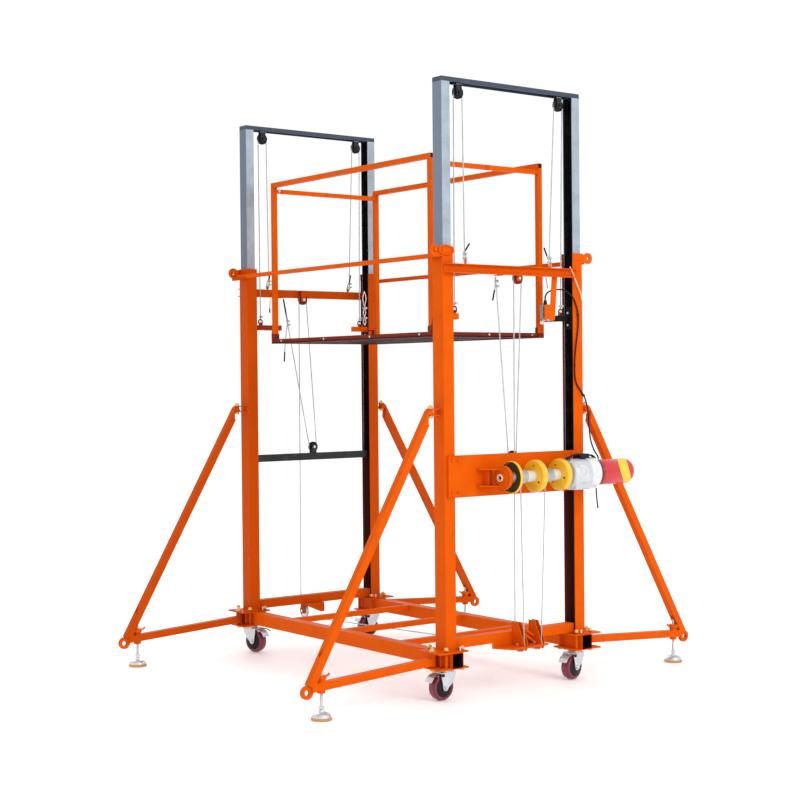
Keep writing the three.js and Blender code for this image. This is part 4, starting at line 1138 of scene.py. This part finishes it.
# ------------------------------------------------------------------ limit switch
def limit_switch():
    """Switch body on its slanted arm, cable gland, lever roller and spindle."""
    y0 = outward("near", 0.0)
    front = outward("near", 0.0417)
    arm = Build().bar((0.281, front + 0.0032, HEAD_BOTTOM["near"] + HEAD_TALL - 0.004),
                      (0.259, front + 0.0032, 1.894), 0.036, 0.0058, side=(1, 0, 0.08))
    arm.hull((0.206, front + 0.0009, 1.900), (0.268, front + 0.0052, 1.974))
    arm.piece("switch_bracket", "orange", "chassis", ["limit_switch"], bevel=0.0012)
    Build().hull((0.214, y0 - 0.026, 1.898), (0.284, front + 0.0065, 1.976)).piece(
        "switch_body", "orange", "chassis", bevel=0.004)
    Build().hull((0.202, y0 - 0.0045, 1.900), (0.284, y0 - 0.0256, 1.974)).piece(
        "switch_cover", "grey", "chassis", bevel=0.005)
    gland = Build().lathe((0.228, y0 - 0.020, 1.973), (0, 0, 1), [
        (0, 0), (0.0105, 0), (0.0105, 0.006), (0.009, 0.008), (0.009, 0.018),
        (0.0075, 0.0255), (0, 0.0255)], 24)
    gland.hexagon((0.228, y0 - 0.020, 1.976), (0, 0, 1), 0.020, 0.007)
    gland.piece("switch_gland", "cable", "chassis", smooth=35)
    roller = Vector((0.226, middle("limit_lever").y, 1.884))
    Build().lathe(roller, (0, 1, 0), [(0, -0.006), (0.0092, -0.006), (0.0102, -0.005),
                                      (0.0102, 0.005), (0.0092, 0.006), (0, 0.006)],
                  32).piece("lever_roller", "white", "limit_lever", smooth=40)
    Build().tube([(0.262, y0 - 0.009, 1.925), (0.262, y0 + 0.0095, 1.925)], 0.0046, 16).piece(
        "lever_spindle", "zinc", "chassis")


# ------------------------------------------------------------------ platform
def deck():
    """Edge strip, raised tread bars and edge bolts of the deck."""
    half, low = DECK_HALF, 1.8092
    y0, y1 = DECK_Y - DECK_END, DECK_Y + DECK_END
    strip = Build()
    for side in (-1, 1):
        x = side * half
        strip.hull((min(x, x + side * 0.0015), y0, low),
                   (max(x, x + side * 0.0015), y1, low + 0.007))
    for y, d in ((y0, -1), (y1, 1)):
        strip.hull((-half, min(y, y + d * 0.0015), low),
                   (half, max(y, y + d * 0.0015), low + 0.007))
    strip.piece("deck_edge_strip", "deck", "platform")
    tread = Build()
    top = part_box("deck_board")[1][2]
    rows, columns = 26, 13
    for i in range(rows):
        for j in range(columns):
            x = (half - 0.04) * (2 * j / (columns - 1) - 1)
            y = y0 + 0.05 + (y1 - y0 - 0.10) * i / (rows - 1)
            lean = 0.011 if (i + j) % 2 else -0.011
            tread.bar((x - 0.011, y - lean, top + 0.0006), (x + 0.011, y + lean, top + 0.0006),
                      0.0052, 0.0016, side=(0.7, -0.7 if lean > 0 else 0.7, 0))
    tread.piece("deck_tread_pattern", "deck", "platform")
    bolts = Build()
    for side in (-1, 1):
        for k in range(4):
            y = y0 + 0.10 + k * (y1 - y0 - 0.20) / 3
            bolts.hexagon((side * (half + 0.0002), y, 1.824), (side, 0, 0), 0.011, 0.004)
    for y, d in ((y0, -1), (y1, 1)):
        for x in (-0.30, 0.0, 0.30):
            bolts.hexagon((x, y + d * 0.0002, 1.824), (0, d, 0), 0.011, 0.004)
    bolts.piece("deck_bolts", "zinc", "platform")


def rails():
    """Sockets under the corner posts, gate pins, and painted shade in the open ends of the side
    rails.
    """
    r = RAIL_HALF
    across = DECK_HALF - r
    along = DECK_END - r
    for side in (-1, 1):
        ends = Build()
        for end in (-1, 1):
            x, y = side * across, DECK_Y + end * along
            name = f"{'left' if side < 0 else 'right'}_{'near' if end < 0 else 'far'}"
            socket = Build()
            for d in (-1, 1):
                socket.hull((x + d * (r + 0.0018) - 0.0015, y - r - 0.0033, DECK_TOP + 0.0006),
                            (x + d * (r + 0.0018) + 0.0015, y + r + 0.0033, DECK_TOP + 0.03))
                socket.hull((x - r, y + d * (r + 0.0018) - 0.0015, DECK_TOP + 0.0006),
                            (x + r, y + d * (r + 0.0018) + 0.0015, DECK_TOP + 0.03))
            socket.piece(f"rail_socket_{name}", "maroon", "platform", bevel=0.0006)
            tip = DECK_Y + end * DECK_END
            ends.hull((x - r + 0.0025, tip, RAIL_TOP - 2 * r + 0.0025),
                      (x + r - 0.0025, tip + end * 0.0006, RAIL_TOP - 0.0025))
        ends.piece(f"rail_open_ends_{'left' if side < 0 else 'right'}", "hollow", "platform")
    for name, end in (("near", -1), ("far", 1)):
        y = DECK_Y + end * along
        joint = Build()
        for x in (-0.006, 0.006):
            joint.hull((x - 0.0012, y - 0.0124, GATE[1] - 0.0124),
                       (x + 0.0012, y + 0.0124, GATE[1] + 0.0124))
        joint.piece(f"rail_joint_{name}", "maroon", f"end_rail_{name}", bevel=0.0004)
        gate = Build()
        for k in (-1, 1):
            gate.hexagon((GATE[0], y + k * 0.0118, GATE[1]), (0, k, 0), 0.013, 0.006)
        gate.piece(f"gate_bolt_{name}", "zinc", "platform")


def sliders():
    """Nylon guide pads and bolts on the four slider arms."""
    for corner, tower, _, side in CORNERS:
        y = TOWER_Y[tower]
        pad = Build()
        for z in (1.862, 1.944):
            pad.hull((side * 0.4185, y - 0.0306, z), (side * 0.4545, y + 0.0306, z + 0.014))
            pad.hull((side * 0.4565, y - 0.020, z), (side * 0.4596, y + 0.020, z + 0.014))
        pad.piece(f"guide_pads_{corner}", "black", "platform", bevel=0.001)
        studs = Build()
        for z in (1.873, 1.905, 1.937):
            studs.hexagon((side * 0.4158, y + 0.008, z), (-side, 0, 0), 0.011, 0.005)
        studs.piece(f"slider_bolts_{corner}", "zinc", "platform")


def towers():
    """Small fittings of the towers: weld beads, tie bolts and a hook on each tower's left post.
    """
    for corner, tower, out, side in CORNERS:
        y = TOWER_Y[tower]
        weld = Build()
        for k in (-1, 1):
            weld.tube([(side * 0.4045, y + k * 0.0252, 0.2555), (side * 0.4045, y + k * 0.0252,
                                                                 0.299)], 0.0022, 8)
            weld.tube([(side * 0.413, y + k * 0.0432, PLATE_HIGH + 0.001),
                       (side * 0.466, y + k * 0.0432, PLATE_HIGH + 0.001)], 0.0024, 8)
        weld.tube([(side * 0.4722, y - 0.040, PLATE_HIGH + 0.001),
                   (side * 0.4722, y + 0.040, PLATE_HIGH + 0.001)], 0.0024, 8)
        for dz in (-0.018, 0.018):
            weld.tube([(side * 0.4722, y - 0.0165, BRACE_Z + dz),
                       (side * 0.4722, y + 0.0165, BRACE_Z + dz)], 0.0022, 8)
        weld.piece(f"weld_beads_{corner}", "orange", "chassis")
        if corner != "near_right":
            bolts = Build()
            for inner, outer in ((0.0425, out), (0.0335, -out)):
                bolts.hexagon((side * 0.517, outward(tower, inner), POST_TOP - 0.024),
                              (0, outer, 0), 0.020, 0.007)
            bolts.piece(f"tie_bolts_{corner}", "orange", "chassis")
    hook = oval((-0.452, outward("near", 0.047), 2.231), 0.046, 0.022)
    Build().tube(hook, 0.0046, 12, closed=True).piece("post_hook_near", "orange", "chassis")
    y = outward("far", -0.052)
    # The far hook in the far tower's orange with painted shade.
    Build().bar((-0.575, y, 2.184), (-0.500, y, 2.192), 0.020, 0.018, side=(0, 1, 0)).piece(
        "post_hook_far", "far", "chassis", bevel=0.002)


# ------------------------------------------------------------------ cables
SWITCH_ROUTE = [
    (0.228, 0.020, 1.998), (0.230, 0.020, 2.020), (0.248, 0.022, 2.042),
    (0.300, 0.025, 2.056), (0.350, 0.038, 2.052), (0.392, 0.048, 2.022),
    (0.420, 0.049, 1.978), (0.434, 0.049, 1.925), (0.434, 0.049, 1.868),
    (0.424, 0.049, 1.800), (0.412, 0.049, 1.728), (0.407, 0.049, 1.660),
    (0.408, 0.049, 1.605), (0.420, 0.049, 1.562), (0.444, 0.049, 1.530),
    (0.470, 0.050, 1.500), (0.486, 0.054, 1.456), (0.492, 0.060, 1.400),
    (0.490, 0.068, 1.330), (0.486, 0.084, 1.262), (0.482, 0.112, 1.212),
    (0.478, 0.140, 1.186), (0.476, 0.150, 1.1675),
]
LEAD_ROUTE = [
    (0.414, 0.196, 1.021), (0.414, 0.196, 1.008), (0.4145, 0.1965, 0.995),
    (0.4155, 0.197, 0.980), (0.4165, 0.1975, 0.965), (0.418, 0.198, 0.950),
    (0.420, 0.1985, 0.935), (0.422, 0.199, 0.918),
]


def cables():
    """Switch cable with its clips, and the short open-ended motor lead."""
    route = [(x, outward("near", d), z) for x, d, z in SWITCH_ROUTE]
    Build().tube(curve_points(route, 6), 0.004, 14).piece(
        "switch_cable_jacket", "cable", "chassis", ["switch_cable"])
    clips = Build()
    for i in (7, 11, 15, 17):
        x, y, z = route[i]
        clips.lathe((x, y, z), Vector(route[i + 1]) - Vector(route[i - 1]), [
            (0.0043, -0.004), (0.0062, -0.004), (0.0062, 0.004), (0.0043, 0.004)], 20,
            closed=True)
    clips.piece("cable_clips", "black", "chassis")
    points = [Vector((x, outward("near", d), z)) for x, d, z in LEAD_ROUTE]
    path = curve_points(points, 4)
    lead = Build().tube(path, 0.0035, 14).piece("motor_lead_cable", "cable", "chassis",
                                                ["motor_lead"])
    cap = Build().lathe(points[-1], points[-2] - points[-1], [
        (0, -0.001), (0.0040, -0.001), (0.0044, 0.001), (0.0044, 0.010), (0.0037, 0.012),
        (0, 0.012)], 20)
    end = cap.piece("motor_lead_end", "cable", "chassis", smooth=40)


# ------------------------------------------------------------------ stage
def stage():
    """White floor, white world and two soft lamps."""
    material = bpy.data.materials.new("floor")
    material.use_nodes = True
    shader = material.node_tree.nodes["Principled BSDF"]
    shader.inputs["Base Color"].default_value = (0.97, 0.97, 0.97, 1)
    shader.inputs["Roughness"].default_value = 0.6
    shader.inputs["Emission Color"].default_value = (1, 1, 1, 1)
    shader.inputs["Emission Strength"].default_value = 0.10
    data = bpy.data.meshes.new("floor")
    size = 60.0
    data.from_pydata([(-size, -size, -0.0005), (size, -size, -0.0005), (size, size, -0.0005),
                      (-size, size, -0.0005)], [], [(0, 1, 2, 3)])
    data.materials.append(material)
    floor = bpy.data.objects.new("floor", data)
    bpy.context.scene.collection.objects.link(floor)
    world = bpy.data.worlds.new("studio")
    world.use_nodes = True
    world.node_tree.nodes["Background"].inputs["Color"].default_value = (1, 1, 1, 1)
    world.node_tree.nodes["Background"].inputs["Strength"].default_value = 1.02
    bpy.context.scene.world = world
    for name, place, size, power in (("key", (0.3, -9.0, 6.0), 4.0, 285),
                                     ("back", (2.0, 8.0, 5.0), 5.0, 120)):
        lamp = bpy.data.lights.new(name, "AREA")
        lamp.energy = power
        lamp.size = size
        light = bpy.data.objects.new(name, lamp)
        aim = Vector((0, 0, 1.2)) - Vector(place)
        light.matrix_world = (Matrix.Translation(place)
                              @ aim.to_track_quat("-Z", "Y").to_matrix().to_4x4())
        bpy.context.scene.collection.objects.link(light)
    bpy.context.scene.view_settings.view_transform = "Standard"


# ------------------------------------------------------------------ everything
place_camera()
LOOKS = make_materials()
cables()
dress_cad()
for corner_name, tower_name, _, hand in CORNERS:
    corner_hardware(corner_name, tower_name, hand)
    caster(corner_name)
    jack(corner_name, hand)
beam_ends()
for joint_name, facts in JOINTS.items():
    for kind, (pitch_radius, finish) in SHEAVES.items():
        if joint_name.startswith(kind):
            sheave(joint_name.replace("_spin", ""), facts["axis"], pitch_radius, finish)
pulley_bolts()
lift_ropes()
winch_ropes()
loose_ends()
winch()
motor()
limit_switch()
deck()
rails()
sliders()
towers()
stage()
